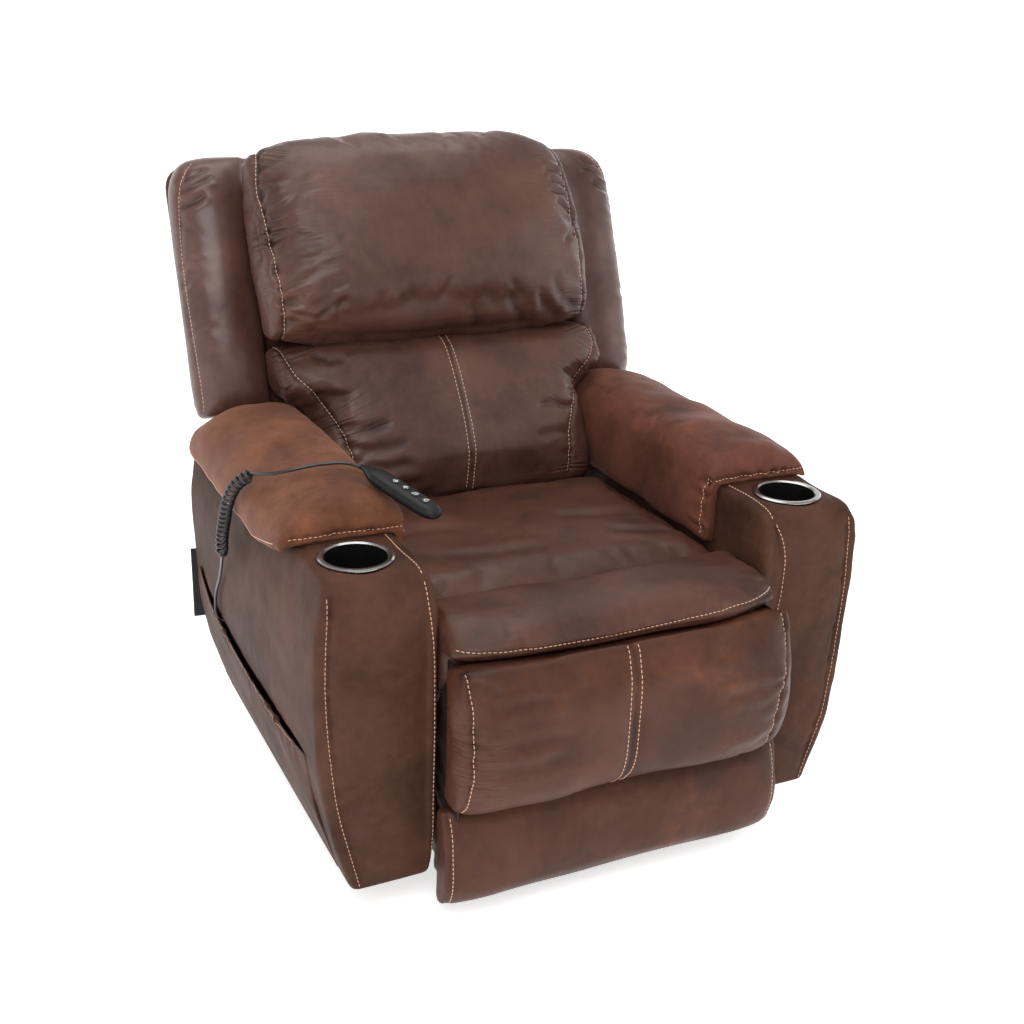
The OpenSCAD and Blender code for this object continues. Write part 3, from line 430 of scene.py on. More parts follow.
def puff(obj, size, cap):
    """Even quads, blown up as cloth; p' = p + d min(1, cap / |d|) with d the cloth's move; then one
    subdivision.
    """
    remesh(obj, size)
    relax(obj, 0.5, 3)
    start = coords(obj)
    mod = obj.modifiers.new("cloth", "CLOTH")
    s = mod.settings
    s.use_pressure, s.uniform_pressure_force, s.effector_weights.gravity = True, PRESSURE, 0.0
    s.quality, s.mass, s.bending_stiffness = CLOTH_STEPS, CLOTH_MASS, CLOTH_BENDING
    s.tension_stiffness = s.compression_stiffness = CLOTH_STIFFNESS
    mod.point_cache.frame_start, mod.point_cache.frame_end = 1, FRAMES
    for f in range(1, FRAMES + 1):
        SCENE.frame_set(f)
        bpy.context.view_layer.update()
    deps = bpy.context.evaluated_depsgraph_get()
    moved = obj.evaluated_get(deps)
    end = np.empty(len(moved.data.vertices) * 3)
    moved.data.vertices.foreach_get("co", end)
    obj.modifiers.clear()
    d = end.reshape(-1, 3) - start
    d -= np.median(d, axis=0)
    far = np.linalg.norm(d, axis=1, keepdims=True)
    set_coords(obj, start + d * np.minimum(1, cap / np.maximum(far, 1e-9)))
    SCENE.frame_set(1)
    relax(obj, 0.5, 2)
    divide(obj)


def lumps(p, size, seed):
    """Sum of plane waves about size long in random directions, about -1 to 1."""
    rng = np.random.default_rng(seed)
    k = (unit(rng.normal(size=(WAVES, 3))) * 2 * math.pi / np.broadcast_to(size, 3)
         * rng.uniform(0.7, 1.4, (WAVES, 1)))
    return np.sin(p @ k.T + rng.uniform(0, 2 * math.pi, WAVES)).sum(1) / math.sqrt(WAVES)


def crease(p, line, wide, deep, lip=0.4):
    """A furrow along a line, fading at its ends: deep (lip e^(-((d - 2w)/w)^2) - e^(-(d/w)^2))."""
    d, share = line_distance(p, np.asarray(line, float))
    fade = np.clip(np.minimum(share, 1 - share) * 5, 0, 1) ** 0.7
    return fade * deep * (lip * np.exp(-((d - 2 * wide) / wide) ** 2) - np.exp(-(d / wide) ** 2))


def seam(p, line, wide, deep):
    """A seam pulled in all along its line, straight between its points: -deep e^(-|d|/wide)."""
    d, _ = line_distance(p, np.asarray(line, float))
    return -deep * np.exp(-d / wide)


def pleats(p, line, to, count, reach, wide, deep, seed, slant=0.5):
    """Furrows that leave a seam towards one side, each with its own place, slant, length and depth,
    deepest at the seam.
    """
    rng = np.random.default_rng(seed)
    line = even_line(line, 80)
    out = np.zeros(len(p))
    for k in range(count):
        i = int(rng.uniform(2, 77))
        along = unit(line[i + 2] - line[i - 2])
        way = unit(np.asarray(to, float) + along * rng.normal(0, slant))
        bend = along * rng.normal(0, 0.12)
        far = reach * rng.uniform(0.35, 1.15)
        stem = [line[i], line[i] + far * (0.5 * way + bend), line[i] + far * way]
        d, share = line_distance(p, np.array(stem))
        w = wide * rng.uniform(0.6, 1.3) * (1 + 0.7 * share)
        out += (deep * rng.uniform(0.4, 1.0) * (1 - share) ** 0.8
                * (0.5 * np.exp(-((d - 1.9 * w) / w) ** 2) - np.exp(-(d / w) ** 2)))
    return out


def even_line(line, count):
    """Points at even distances along a smooth curve through a few."""
    q = catmull(line, 12)
    s = np.r_[0, np.cumsum(np.linalg.norm(np.diff(q, axis=0), axis=1))]
    at = np.linspace(0, s[-1], count)
    return np.stack([np.interp(at, s, q[:, k]) for k in range(q.shape[1])], -1)


def gathered(obj, p, lines, reach):
    """Keeps for the material, at each point: metres along the nearest seam, metres away from it, and
    e^(-away / reach).
    """
    best = np.full((len(p), 3), [0.0, 9.0, 0.0])
    for line in lines:
        q = even_line(line, 60)
        d, share = line_distance(p, q)
        near = d / 1000 < best[:, 1]
        best[near] = np.stack([share * line_length(q) / 1000, d / 1000, np.exp(-d / reach)], -1)[near]
    kept = obj.data.attributes.new("gather", "FLOAT_VECTOR", "POINT")
    kept.data.foreach_set("vector", best.astype(np.float32).ravel())


def sculpt(obj, field, local=flat, seams=(), reach=40.0):
    """Moves each point along its normal by field(points, normals), both in local axes, in mm; "fold"
    keeps how far it went in.
    """
    co, no = coords(obj), normals(obj)
    p, n = unplace(co), no
    if local is unlean:
        p, n = unlean(p), unlean(no + [0, HINGE[0], HINGE[1]])
    move = field(p, n)
    set_coords(obj, co + no * move[:, None] / 1000)
    fold = obj.data.attributes.new("fold", "FLOAT", "POINT")
    fold.data.foreach_set("value", np.clip(-move / FOLD_DEEP, 0, 1).astype(np.float32))
    if seams:
        gathered(obj, p[:, ::2], seams, reach)


def cushion(name, profile, half, anchor, edge, steps=40, frame_of=flat, power=3.2):
    """Rings at x = half s, s from -1 to 1, each profile point drawn towards the anchor by edge + (1 -
    edge) sqrt(1 - |s|^power).
    """
    q = np.asarray(profile, float)
    s = np.sin(np.linspace(-math.pi / 2, math.pi / 2, steps + 1))
    edge = np.broadcast_to(edge, 2)
    g = edge[None] + (1 - edge[None]) * np.sqrt(np.maximum(0, 1 - np.abs(s) ** power))[:, None]
    left, right = (np.broadcast_to(h, len(q)) for h in (half if isinstance(half, tuple) else (half, half)))
    x = np.where(s[:, None] < 0, left[None], right[None]) * s[:, None]
    rings = np.stack([x, anchor[0] + (q[:, 0] - anchor[0]) * g[:, :1],
                      anchor[1] + (q[:, 1] - anchor[1]) * g[:, 1:]], -1)
    return skin(name, frame_of(rings))


def side_name(side):
    """Left for a negative x and right for a positive one, as seen from the front."""
    return "left" if side < 0 else "right"


def wound(rings, keep):
    """The rings as they are, or each run backwards, so that a mirrored piece's faces look outwards."""
    return rings if keep else rings[:, ::-1]


def shifted(line, by):
    """A drawn line moved along its first coordinate."""
    return [(a + by, b) for a, b in line]


def mirrored(line, side):
    """A drawn line's first coordinate times the side."""
    return [(side * a, b) for a, b in line]


def cut_away(obj, rings):
    """Takes a closed form, given by its rings, out of a piece."""
    tool = skin("cutter", rings)
    mod = obj.modifiers.new("cut", "BOOLEAN")
    mod.operation, mod.solver, mod.object = "DIFFERENCE", "EXACT", tool
    baked(obj)
    bpy.data.objects.remove(tool)


def fine_block(obj, size, repeats):
    """Even quads, smoothed, then one subdivision, for a form that isn't blown up."""
    remesh(obj, size)
    relax(obj, 0.5, repeats)
    divide(obj)


def folded(f, p, lines, wide, deep):
    """The field f with one furrow added for each line."""
    for line in lines:
        f += crease(p, line, wide, deep)
    return f


def own(obj, body, slot, *nodes, fill=None):
    """Attaches the piece to its body and hides the solids it stands for; slot and fill are not used."""
    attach(obj, body)
    if nodes:
        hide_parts(*nodes)
    return obj


# Ways to find a surface from a flat drawing: a drawn point (a, b) to where its ray starts, and the ray's
# direction
def from_back_front(q):
    """Drawn (x, v), seen from the back's front."""
    return leaning(np.stack([q[:, 0], np.full(len(q), -400.0), q[:, 1]], -1)), (0, math.cos(TILT),
                                                                                -math.sin(TILT))


def from_front(q):
    """Drawn (x, z), seen from the front."""
    return np.stack([q[:, 0], np.full(len(q), -400.0), q[:, 1]], -1), (0, 1, 0)


def from_above(q):
    """Drawn (x, y), seen from above."""
    return np.stack([q[:, 0], q[:, 1], np.full(len(q), 1300.0)], -1), (0, 0, -1)


def from_side(sign, start=700.0):
    """Drawn (y, z), seen from the side that sign names."""
    return lambda q: (np.stack([np.full(len(q), sign * start), q[:, 0], q[:, 1]], -1), (-sign, 0, 0))


THREADS = []
STITCH_PITCH, STITCH_LENGTH, STITCH_SAMPLE = 7.6, 5.4, 2.5


def tree_of(obj):
    """The piece's triangles, ready for rays."""
    return BVHTree.FromObject(obj, bpy.context.evaluated_depsgraph_get())


def on_surface(tree, drawn, way):
    """Where the rays of a drawn line meet the piece, and its normals there, in metres; misses are left
    out.
    """
    starts, direction = way(np.asarray(drawn, float))
    hits = [tree.ray_cast(Vector(p), Vector(direction)) for p in place(starts)]
    hits = [(h[0], h[1]) for h in hits if h[0] is not None]
    return np.array([h[0] for h in hits]), np.array([h[1] for h in hits])


def stitches(name, obj, body, line, way, thick=0.75):
    """A row of thread stitches: short six-sided bars, thin at both ends, half sunk where a drawn line
    lies on a piece.
    """
    step = even_line(line, max(8, int(line_length(even_line(line, 60)) / STITCH_SAMPLE)))
    tree = tree_of(obj)
    at, up = on_surface(tree, step, way)
    for _ in range(4):
        at[1:-1], up[1:-1] = ((q[:-2] + 2 * q[1:-1] + q[2:]) / 4 for q in (at, up))
    up = unit(up)
    along = unit(np.gradient(at, axis=0))
    near = np.array([tree.find_nearest(Vector(q))[0] for q in at])
    at = at + up * np.maximum(0, ((near - at) * up).sum(1))[:, None]
    s = np.r_[0, np.cumsum(np.linalg.norm(np.diff(at, axis=0), axis=1))]
    middle = np.arange(STITCH_PITCH / 2000, s[-1], STITCH_PITCH / 1000)
    c, n, t = (np.stack([np.interp(middle, s, a[:, k]) for k in range(3)], -1) for a in (at, unit(up), along))
    t = unit(t)
    b = unit(np.cross(n, t))
    n = np.cross(t, b)
    along_at = np.array([-1.0, -0.72, 0.72, 1.0]) * STITCH_LENGTH / 2000
    grow = np.array([0.35, 1.0, 1.0, 0.35]) * thick / 1000
    k = 2 * math.pi * np.arange(6) / 6
    turn = (b[:, None, None] * np.cos(k)[None, None, :, None] + n[:, None, None]
            * np.sin(k)[None, None, :, None])
    ring = turn * grow[None, :, None, None]
    lift = np.array([-0.35, 0.3, 0.3, -0.35]) * thick / 1000
    v = c[:, None, None] + t[:, None, None] * along_at[None, :, None, None]
    v = v + n[:, None, None] * lift[None, :, None, None] + ring
    count = len(c)
    i, r, q = np.meshgrid(np.arange(count), np.arange(3), np.arange(6), indexing="ij")
    base = i * 24 + r * 6
    faces = np.stack([base + q, base + (q + 1) % 6, base + 6 + (q + 1) % 6, base + 6 + q],
                     -1).reshape(-1, 4).tolist()
    for first, flip in ((0, -1), (18, 1)):
        cap = (np.arange(count)[:, None] * 24 + first + np.arange(6)[None])[:, ::flip]
        faces += cap.tolist()
    row = mesh_object(name, v.reshape(-1, 3), faces)
    own(row, body, "hide")
    THREADS.append(row)
    return row


# ---------------------------------------------------------------- the cushions
SEAT_LOW = 350.0
PILLOW = [[11.7, 510], [11.7, 660], [-20, 704], [-72, 719], [-118, 694], [-156, 612], [-177, 520],
          [-182, 440], [-176, 384],
          [-156, 345], [-120, 336], [-84, 352], [-40, 362], [0, 366], [11.7, 387]]
LUMBAR = [[11.7, 200], [11.7, 340], [-5, 360], [-52, 362], [-88, 344], [-114, 290], [-134, 212], [-144, 138],
          [-142, 82],
          [-122, 42], [-60, 34], [11.7, 62]]
SEAT = [[566, SEAT_LOW], [566, 404], [558, 424], [540, 441], [515, 453], [470, 460], [400, 463], [280, 465],
        [170, 462], [122, 452],
        [112.6, 430], [112.6, SEAT_LOW], [300, SEAT_LOW]]
ROLL = [[112, 440], [110, 460], [92, 471], [50, 478], [0, 479], [-38, 474], [-64, 464], [-77, 453],
        [-79, 445], [-68, 439], [-22, 437],
        [-14, 400], [8, 354], [60, SEAT_LOW], [112, SEAT_LOW]]
LEG_PAD = [[-26.6, 408], [-27.5, 424], [-40, 432], [-60, 434], [-76, 439], [-88, 448], [-99, 446],
           [-112, 426], [-120, 385], [-125, 330],
           [-122, 275], [-110, 232], [-90, 206], [-62, 198], [-36, 203], [-26.6, 212], [-26.6, 320]]
KICK = [[-26.6, 192], [-27.5, 198], [-36, 201], [-52, 199], [-66, 168], [-75, 112], [-71, 66], [-58, 38],
        [-42, 31],
        [-28, 34], [-26.6, 48], [-26.6, 118]]


def outline(points, steps=6, **limits):
    """A smooth closed outline through points, held inside limits: a0, a1 for the first coordinate, b0 for
    the second.
    """
    q = catmull(points, steps, closed=True)
    q[:, 0] = np.clip(q[:, 0], limits.get("a0", -1e9), limits.get("a1", 1e9))
    q[:, 1] = np.maximum(q[:, 1], limits.get("b0", -1e9))
    return q


def rise(value, low, high):
    """0 at low to 1 at high, in a straight line."""
    return np.clip((value - low) / (high - low), 0, 1)


PILLOW_LEFT = [(-295, 700), (-315, 620), (-310, 470), (-305, 345)]
PILLOW_RIGHT = [(260, 700), (270, 590), (270, 350)]
PILLOW_SEAM = {-1: PILLOW_LEFT, 1: PILLOW_RIGHT}
PILLOW_TUCKS = [[(272, 604), (244, 618), (214, 622)], [(274, 580), (246, 594), (218, 600)],
                [(275, 556), (246, 572), (212, 580)], [(275, 530), (250, 548), (226, 560)],
                [(274, 500), (246, 494), (224, 480)]]
PILLOW_FOLDS = [[(262, 352), (214, 380), (188, 420)], [(222, 346), (176, 372), (160, 404)],
                [(150, 342), (120, 366), (104, 398)], [(60, 340), (40, 360), (30, 384)],
                [(-262, 352), (-230, 392), (-196, 402)], [(-262, 380), (-226, 420), (-190, 432)]]


def make_pillow():
    """The head pillow: crowned and hanging over the lumbar cushion, pleated along both end seams."""
    q = outline(PILLOW, a1=CUSHION_BACK)
    wide = rise(-q[:, 0], 40, 100)
    obj = cushion("head_pillow_cover", q, (296 + 35 * wide, 292 - 6 * wide), (CUSHION_BACK, 430), (0.7, 0.81),
                  frame_of=leaning, power=2.8)
    puff(obj, 0.0065, 0.014)

    def field(p, n):
        d2, front = p[:, ::2], rise(-p[:, 1], 20, 60)
        f = seam(d2, PILLOW_LEFT, 4, 6) + seam(d2, PILLOW_RIGHT, 4, 6)
        f += (pleats(d2, PILLOW_LEFT, (1, 0.25), 26, 110, 5.5, 3.2, 3, 0.3)
              + pleats(d2, PILLOW_LEFT, (-1, 0), 10, 30, 4, 1.2, 4))
        f += pleats(d2, PILLOW_RIGHT, (-1, 0.1), 18, 70, 5.5, 2.0, 8, 0.3)
        f = folded(folded(f, d2, PILLOW_TUCKS, 6, 3.6), d2, PILLOW_FOLDS, 10, 3.4)
        return (f + 1.6 * lumps(p, (150, 260, 110), 5)) * front
    sculpt(obj, field, unlean, (PILLOW_LEFT, PILLOW_RIGHT), 42)
    return own(obj, "back", "hide", "head_pillow", fill=0.85)


LUMBAR_LEFT = [(-305, 350), (-290, 285), (-245, 230), (-220, 140), (-220, 70)]
LUMBAR_RIGHT = [(295, 350), (300, 300), (255, 235), (205, 150), (200, 60)]
LUMBAR_MIDDLE = [(-5, 345), (0, 200), (0, 55)]
LUMBAR_SEAM = {-1: LUMBAR_LEFT, 1: LUMBAR_RIGHT}
LUMBAR_FOLDS = [[(-214, 150), (-160, 142), (-112, 152)], [(-216, 122), (-160, 108), (-104, 112)],
                [(-214, 94), (-156, 74), (-84, 76)], [(-222, 182), (-176, 178), (-140, 190)],
                [(206, 130), (170, 138), (130, 134)], [(214, 176), (176, 190), (140, 190)],
                [(-258, 322), (-226, 306), (-196, 308)], [(-160, 60), (-110, 52), (-60, 58)]]


def make_lumbar():
    """The lumbar cushion: a double-stitched seam down its middle, a seam along each side, folds at its
    lower corners.
    """
    q = outline(LUMBAR, a1=CUSHION_BACK)
    grow = rise(q[:, 1], 240, 282)
    obj = cushion("lumbar_cover", q, (252 + 64 * grow, 252 + 62 * grow), (CUSHION_BACK, 200), (0.84, 0.94),
                  frame_of=leaning)
    puff(obj, 0.0065, 0.012)

    def field(p, n):
        d2, front = p[:, ::2], rise(-p[:, 1], 20, 60)
        f = (seam(d2, LUMBAR_MIDDLE, 2.6, 2.6) + crease(d2, LUMBAR_MIDDLE, 14, 2.4, 0.2)
             + seam(d2, LUMBAR_LEFT, 4, 6) + seam(d2, LUMBAR_RIGHT, 4, 6))
        f += (pleats(d2, LUMBAR_LEFT, (1, -0.1), 16, 80, 6, 2.0, 13, 0.3)
              + pleats(d2, LUMBAR_RIGHT, (-1, 0.1), 16, 70, 6, 2.0, 17, 0.3))
        f = folded(f, d2, LUMBAR_FOLDS, 9, 3.4)
        return (f + 1.8 * lumps(p, (140, 220, 110), 24)) * front
    sculpt(obj, field, unlean, (LUMBAR_LEFT, LUMBAR_RIGHT), 34)
    return own(obj, "back", "hide", "lumbar_cushion", fill=0.8)


def make_seat():
    """The seat's recessed panel: crowned, falling away under the lumbar cushion, softly folded."""
    obj = cushion("seat_cover", outline(SEAT, a0=112.6, b0=SEAT_LOW), 277, (300, SEAT_LOW), (0.985, 0.95),
                  power=6)
    puff(obj, 0.0065, 0.010)

    def field(p, n):
        d2, up = p[:, :2], np.clip(n[:, 2] * 1.6, 0, 1)
        f = (crease(d2, [(-180, 236), (-90, 214), (10, 216)], 14, 2.4)
             + crease(d2, [(120, 240), (190, 214), (246, 200)], 12, 3))
        f += (crease(d2, [(60, 330), (150, 300), (236, 300)], 14, 2.2)
              + crease(d2, [(-230, 330), (-170, 340), (-100, 330)], 14, 2))
        return (f + 1.6 * lumps(p, (170, 120, 200), 34)) * up
    sculpt(obj, field)
    return own(obj, "chair", "hide", "seat_cushion", fill=0.85)


WELT = [(-265, 453), (-30, 447), (265, 460)]


def make_roll():
    """The seat's front roll: broad on top, a top-stitched welt along its nose."""
    obj = cushion("front_roll_cover", outline(ROLL, a1=112, b0=SEAT_LOW), 277, (112, SEAT_LOW + 70),
                  (0.8, 0.86), power=4)
    puff(obj, 0.006, 0.006)

    def field(p, n):
        d2, up = p[:, :2], np.clip(n[:, 2] * 1.6, 0, 1)
        f = seam(p[:, ::2], WELT, 3.5, 3.5) * np.clip(-n[:, 1] * 2, 0, 1)
        f += pleats(d2, [(268, 100), (270, 40), (268, -30)], (-1, 0), 10, 40, 5, 2, 43) * up
        f += (pleats(d2, [(-260, -40), (-120, -66), (0, -70), (120, -66), (260, -40)], (0, 1), 14, 44, 7, 1.2,
                     44) * up)
        return (f + 1.4 * lumps(p, (160, 90, 90), 45)) * rise(p[:, 2], SEAT_LOW + 20, SEAT_LOW + 60)
    sculpt(obj, field)
    return own(obj, "chair", "hide", "seat_front_roll", fill=0.85)


LEG_MIDDLE = [(-10, 445), (-20, 370), (-20, 205)]
LEG_LEFT = [(-270, 445), (-265, 340), (-270, 215)]
LEG_RIGHT = [(255, 445), (255, 380), (240, 300), (245, 212)]
LEG_SEAM = {-1: LEG_LEFT, 1: LEG_RIGHT}
LEG_FOLDS = [[(-250, 330), (-180, 336), (-110, 330)], [(-250, 300), (-190, 296), (-120, 304)],
             [(250, 330), (190, 344), (130, 344)], [(252, 250), (206, 236), (150, 240)],
             [(-250, 392), (-190, 398), (-130, 392)]]


def make_leg_pad():
    """The legrest's pad: it wraps its board and rises to the roll's nose; a double seam down its middle
    and one at each side.
    """
    obj = cushion("legrest_cover", outline(LEG_PAD, a1=-26.6), (282, 279), (-26.6, 320), (0.72, 0.95),
                  power=5)
    puff(obj, 0.0065, 0.007)

    def field(p, n):
        d2, front = p[:, ::2], rise(-p[:, 1], 50, 70)
        f = (seam(d2, LEG_MIDDLE, 2.6, 2.6) + crease(d2, LEG_MIDDLE, 16, 2.4, 0.2)
             + seam(d2, LEG_LEFT, 4, 5) + seam(d2, LEG_RIGHT, 4, 5))
        f += (pleats(d2, LEG_LEFT, (1, 0), 12, 50, 6, 1.5, 53)
              + pleats(d2, LEG_RIGHT, (-1, 0), 14, 50, 6, 1.7, 57))
        f = folded(f, d2, LEG_FOLDS, 10, 2)
        return (f + 1.8 * lumps(p, (140, 200, 110), 64)) * front
    sculpt(obj, field, flat, (LEG_LEFT, LEG_RIGHT), 24)
    return own(obj, "legrest", "hide", "legrest_pad", fill=0.85)


def make_kick():
    """The lower skirt of the legrest, wrapped round its board."""
    obj = cushion("kick_cover", outline(KICK, a1=-26.6), (290, 300), (-26.6, 118), (0.8, 0.96), power=6)
    puff(obj, 0.006, 0.004)

    def field(p, n):
        d2, front = p[:, ::2], rise(-p[:, 1], 38, 50)
        f = (seam(d2, [(-277, 196), (-278, 110), (-277, 36)], 4, 2.5)
             + seam(d2, [(287, 196), (288, 110), (287, 40)], 4, 2.5))
        return (f + 1.3 * lumps(p, (130, 200, 90), 74)) * front
    sculpt(obj, field)
    return own(obj, "legrest", "hide", "kick_pad", fill=0.7)


WEB_FRONT, WEB_REAR, WEB_X, WEB_THICK = -60, 26, 265.6, 2.0


def make_gusset(side):
    """A crumpled leather web behind an end of the legrest's pad: x = WEB_X + waves of y and z, before the
    linkage.
    """
    z, y = np.meshgrid(np.linspace(52, 428, 90), np.linspace(WEB_FRONT, WEB_REAR, 28), indexing="ij")
    back = WEB_REAR - 42 * rise(z, 335, 395)
    y = WEB_FRONT + (y - WEB_FRONT) * (back - WEB_FRONT) / (WEB_REAR - WEB_FRONT)
    p = np.stack([y * 0, y, z], -1).reshape(-1, 3)
    wave = (0.8 * lumps(p, (60, 40, 34), 121 + side) + 0.4 * lumps(p, (30, 50, 16), 123)).reshape(y.shape)
    x = WEB_X + wave * rise(y, WEB_FRONT, -30)
    skin_out = np.stack([side * x, y, z], -1)
    skin_in = skin_out - [side * WEB_THICK, 0, 0]
    rings = np.concatenate([skin_out, skin_in[:, ::-1]], 1)
    obj = skin("legrest_gusset_" + side_name(side), wound(rings, side < 0))
    return own(obj, "legrest", "hide", fill=0.1)


PILLOW_COVER = make_pillow()
LUMBAR_COVER = make_lumbar()
SEAT_COVER = make_seat()
ROLL_COVER = make_roll()
LEG_COVER = make_leg_pad()
KICK_COVER = make_kick()
GUSSET_L = make_gusset(-1)
GUSSET_R = make_gusset(1)

KICK_EDGE = [(277, 190), (278, 110), (277, 40)]
KICK_SHIFT = 10                                # the kick panel's right edge lies this much further out
LUMBAR_ROW, LEG_ROW, ROW_INSET, WELT_ROW = 6.5, 8.5, 3, 1

for sign in (-1, 1):
    tag = side_name(sign)
    stitches("lumbar_stitches_middle_" + tag, LUMBAR_COVER, "back", shifted(LUMBAR_MIDDLE, sign * LUMBAR_ROW),
             from_back_front)
    stitches("legrest_stitches_middle_" + tag, LEG_COVER, "legrest", shifted(LEG_MIDDLE, sign * LEG_ROW),
             from_front)
    for start, cover, body, both, way in (("pillow", PILLOW_COVER, "back", PILLOW_SEAM, from_back_front),
                                          ("lumbar", LUMBAR_COVER, "back", LUMBAR_SEAM, from_back_front),
                                          ("legrest", LEG_COVER, "legrest", LEG_SEAM, from_front)):
        stitches(start + "_stitches_" + tag, cover, body, shifted(both[sign], -sign * ROW_INSET), way)
    kick_row = shifted(mirrored(shifted(KICK_EDGE, -ROW_INSET), sign), KICK_SHIFT * (sign > 0))
    stitches("kick_stitches_" + tag, KICK_COVER, "legrest", kick_row, from_front)
stitches("roll_stitches", ROLL_COVER, "chair", [(a, b + WELT_ROW) for a, b in WELT], from_front)


# ---------------------------------------------------------------- the arms
ARM_IN, ARM_LEN, ARM_TOP, ARM_LOW, CORNER = 282.0, 732.0, 562.0, 60.0, 36.0
CUP = (367.0, 82.0)
CUP_HOLE_R, CUP_DEPTH, CUP_ABOVE, HOLE_SIDES = 49.5, 78, 40, 64
FRONT_BULGE, SIDE_BULGE, INNER_BULGE, POCKET_SINK = 7, 7, 12, 9
ARM_LINE = [[405, 60], [421, 110], [436, 160], [448, 230], [455, 300], [458, 390], [455, 470], [447, 520],
            [436, 562]]
MOUTH = [[60, 270], [128, 267], [318, 256], [476, 263], [601, 283], [690, 322]]


def rounded(points, radius, steps=5):
    """A closed outline of straight sides with its corners rounded: a corner's arc is a quadratic curve
    through it.
    """
    q = np.asarray(points, float)
    before, after = np.roll(q, 1, 0), np.roll(q, -1, 0)
    out = []
    for a, b, c, r in zip(before, q, after, np.broadcast_to(radius, len(q))):
        if r <= 0:
            out.append(b[None])
            continue
        s = b + unit(a - b) * min(r, np.linalg.norm(a - b) * 0.49)
        e = b + unit(c - b) * min(r, np.linalg.norm(c - b) * 0.49)
        t = np.linspace(0, 1, steps)[:, None]
        out.append((1 - t) ** 2 * s + 2 * t * (1 - t) * b + t * t * e)
    return np.vstack(out)


def arm_block(side):
    """The padded arm, sections along y: its side line drawn in by d, its top by the front corner's
    quarter circle.
    """
    line = catmull(ARM_LINE, 4)[:-1]
    near_front = [0, 1, 2.5, 5, 8, 13, 19, 26, 36, 60]
    y = np.r_[near_front, np.linspace(90, ARM_LEN - 20, 14), ARM_LEN - 10, ARM_LEN - 4, ARM_LEN]
    rings = []
    for v in y:
        e = max(0.0, 1 - v / 7) ** 2 * 7 + max(0.0, 1 - (ARM_LEN - v) / 8) ** 2 * 5
        drop = CORNER - math.sqrt(max(0, CORNER ** 2 - max(0, CORNER - v) ** 2))
        z = ARM_TOP - drop - e * 0.4
        outer = np.stack([line[:, 0] - e, np.minimum(line[:, 1], z - 12)], -1)
        box = np.vstack([[[ARM_IN + e * 0.6, ARM_LOW + e]], outer, [[line[-1, 0] - e - 3, z]],
                         [[ARM_IN + e * 0.6, z]]])
        q = rounded(box, [6] + [0] * (len(outer) - 1) + [14, 14, 12])
        rings.append(np.stack([q[:, 0] * side, np.full(len(q), v), q[:, 1]], -1))
    rings = np.array(rings)
    return skin("arm_cover_" + side_name(side), wound(rings, side < 0))


def cut_hole(obj, x, y, low, high, radius):
    """Takes a round hole out of a closed form."""
    k = np.linspace(0, 2 * math.pi, HOLE_SIDES + 1)[:-1]
    ring = np.stack([x + radius * np.cos(k), y + radius * np.sin(k)], -1)
    cut_away(obj, np.array([np.c_[ring, np.full(HOLE_SIDES, z)] for z in (high, low)]))


ARM_FRONT_IN = {-1: [(-278, 64), (-277, 400), (-290, 543)],
                1: [(292, 64), (292, 250), (312, 465), (295, 543)]}
ARM_FRONT_OUT = [(390, 68), (425, 225), (437, 400), (430, 542)]
ARM_TOP_IN = [(291, 14), (297, 80), (296, 150)]


def make_arm(side):
    """One arm's cover: a soft-edged block with its cup hole and a seam along both edges of its front."""
    obj = arm_block(side)
    cut_hole(obj, CUP[0] * side, CUP[1], ARM_TOP - CUP_DEPTH, ARM_TOP + CUP_ABOVE, CUP_HOLE_R)
    fine_block(obj, 0.0065, 2)
    inner, outer = ARM_FRONT_IN[side], mirrored(ARM_FRONT_OUT, side)
    top = [(side * 424, 30), (side * 424, 150)]

    def field(p, n):
        front = rise(-p[:, 1], -40, -8)
        f = (seam(p[:, ::2], inner, 3.5, 3.5) + seam(p[:, ::2], outer, 3.5, 4)) * front
        f += pleats(p[:, ::2], outer, (-side, 0), 12, 34, 6, 1.5, 81 + side, 0.3) * front
        f += seam(p[:, :2], top, 4, 3) * rise(p[:, 2], 540, 556)
        f += 1.3 * lumps(p, (170, 300, 130), 83 + side) + 0.35 * lumps(p, (60, 90, 60), 85)
        if side < 0:
            mouth = catmull(MOUTH, 10)
            below = np.interp(p[:, 1], mouth[:, 0], mouth[:, 1]) - p[:, 2]
            f -= (POCKET_SINK * rise(below, -5, 4) * rise(-below, -110, -60) * rise(p[:, 1], 66, 150)
                  * rise(-p[:, 1], -684, -600) * (n[:, 0] < -0.6))
        f += (FRONT_BULGE * front * np.clip(1 - ((np.abs(p[:, 0]) - 365) / 80) ** 2, 0, 1)
              * rise(p[:, 2], 60, 150) * rise(-p[:, 2], -556, -470))
        f += SIDE_BULGE * np.clip(side * n[:, 0], 0, 1) * rise(p[:, 2], 400, 500) * (side > 0)
        inward = (np.clip(-side * n[:, 0], 0, 1) * np.exp(-np.maximum(p[:, 1], 0) / 70)
                  * rise(p[:, 2], 60, 140) * rise(-p[:, 2], -556, -500))
        away = np.linalg.norm(p[:, :2] - np.array([side * CUP[0], CUP[1]]), axis=1)
        still = np.clip((away - 60) / 30, 0, 1)
        held = np.where(p[:, 2] > ARM_TOP - 90, still, 1)
        move = (f - 1.0) * held * rise(np.abs(p[:, 0]), ARM_IN + 1, ARM_IN + 7)
        return move * rise(p[:, 2], 60, 90) + INNER_BULGE * inward
    sculpt(obj, field)
    nodes = ["arm_side_left", "arm_facings", "arm_inner_panels"] if side < 0 else ["arm_side_right"]
    return own(obj, "chair", "hide", *nodes, fill=0.9)


ARM_L = make_arm(-1)
ARM_R = make_arm(1)


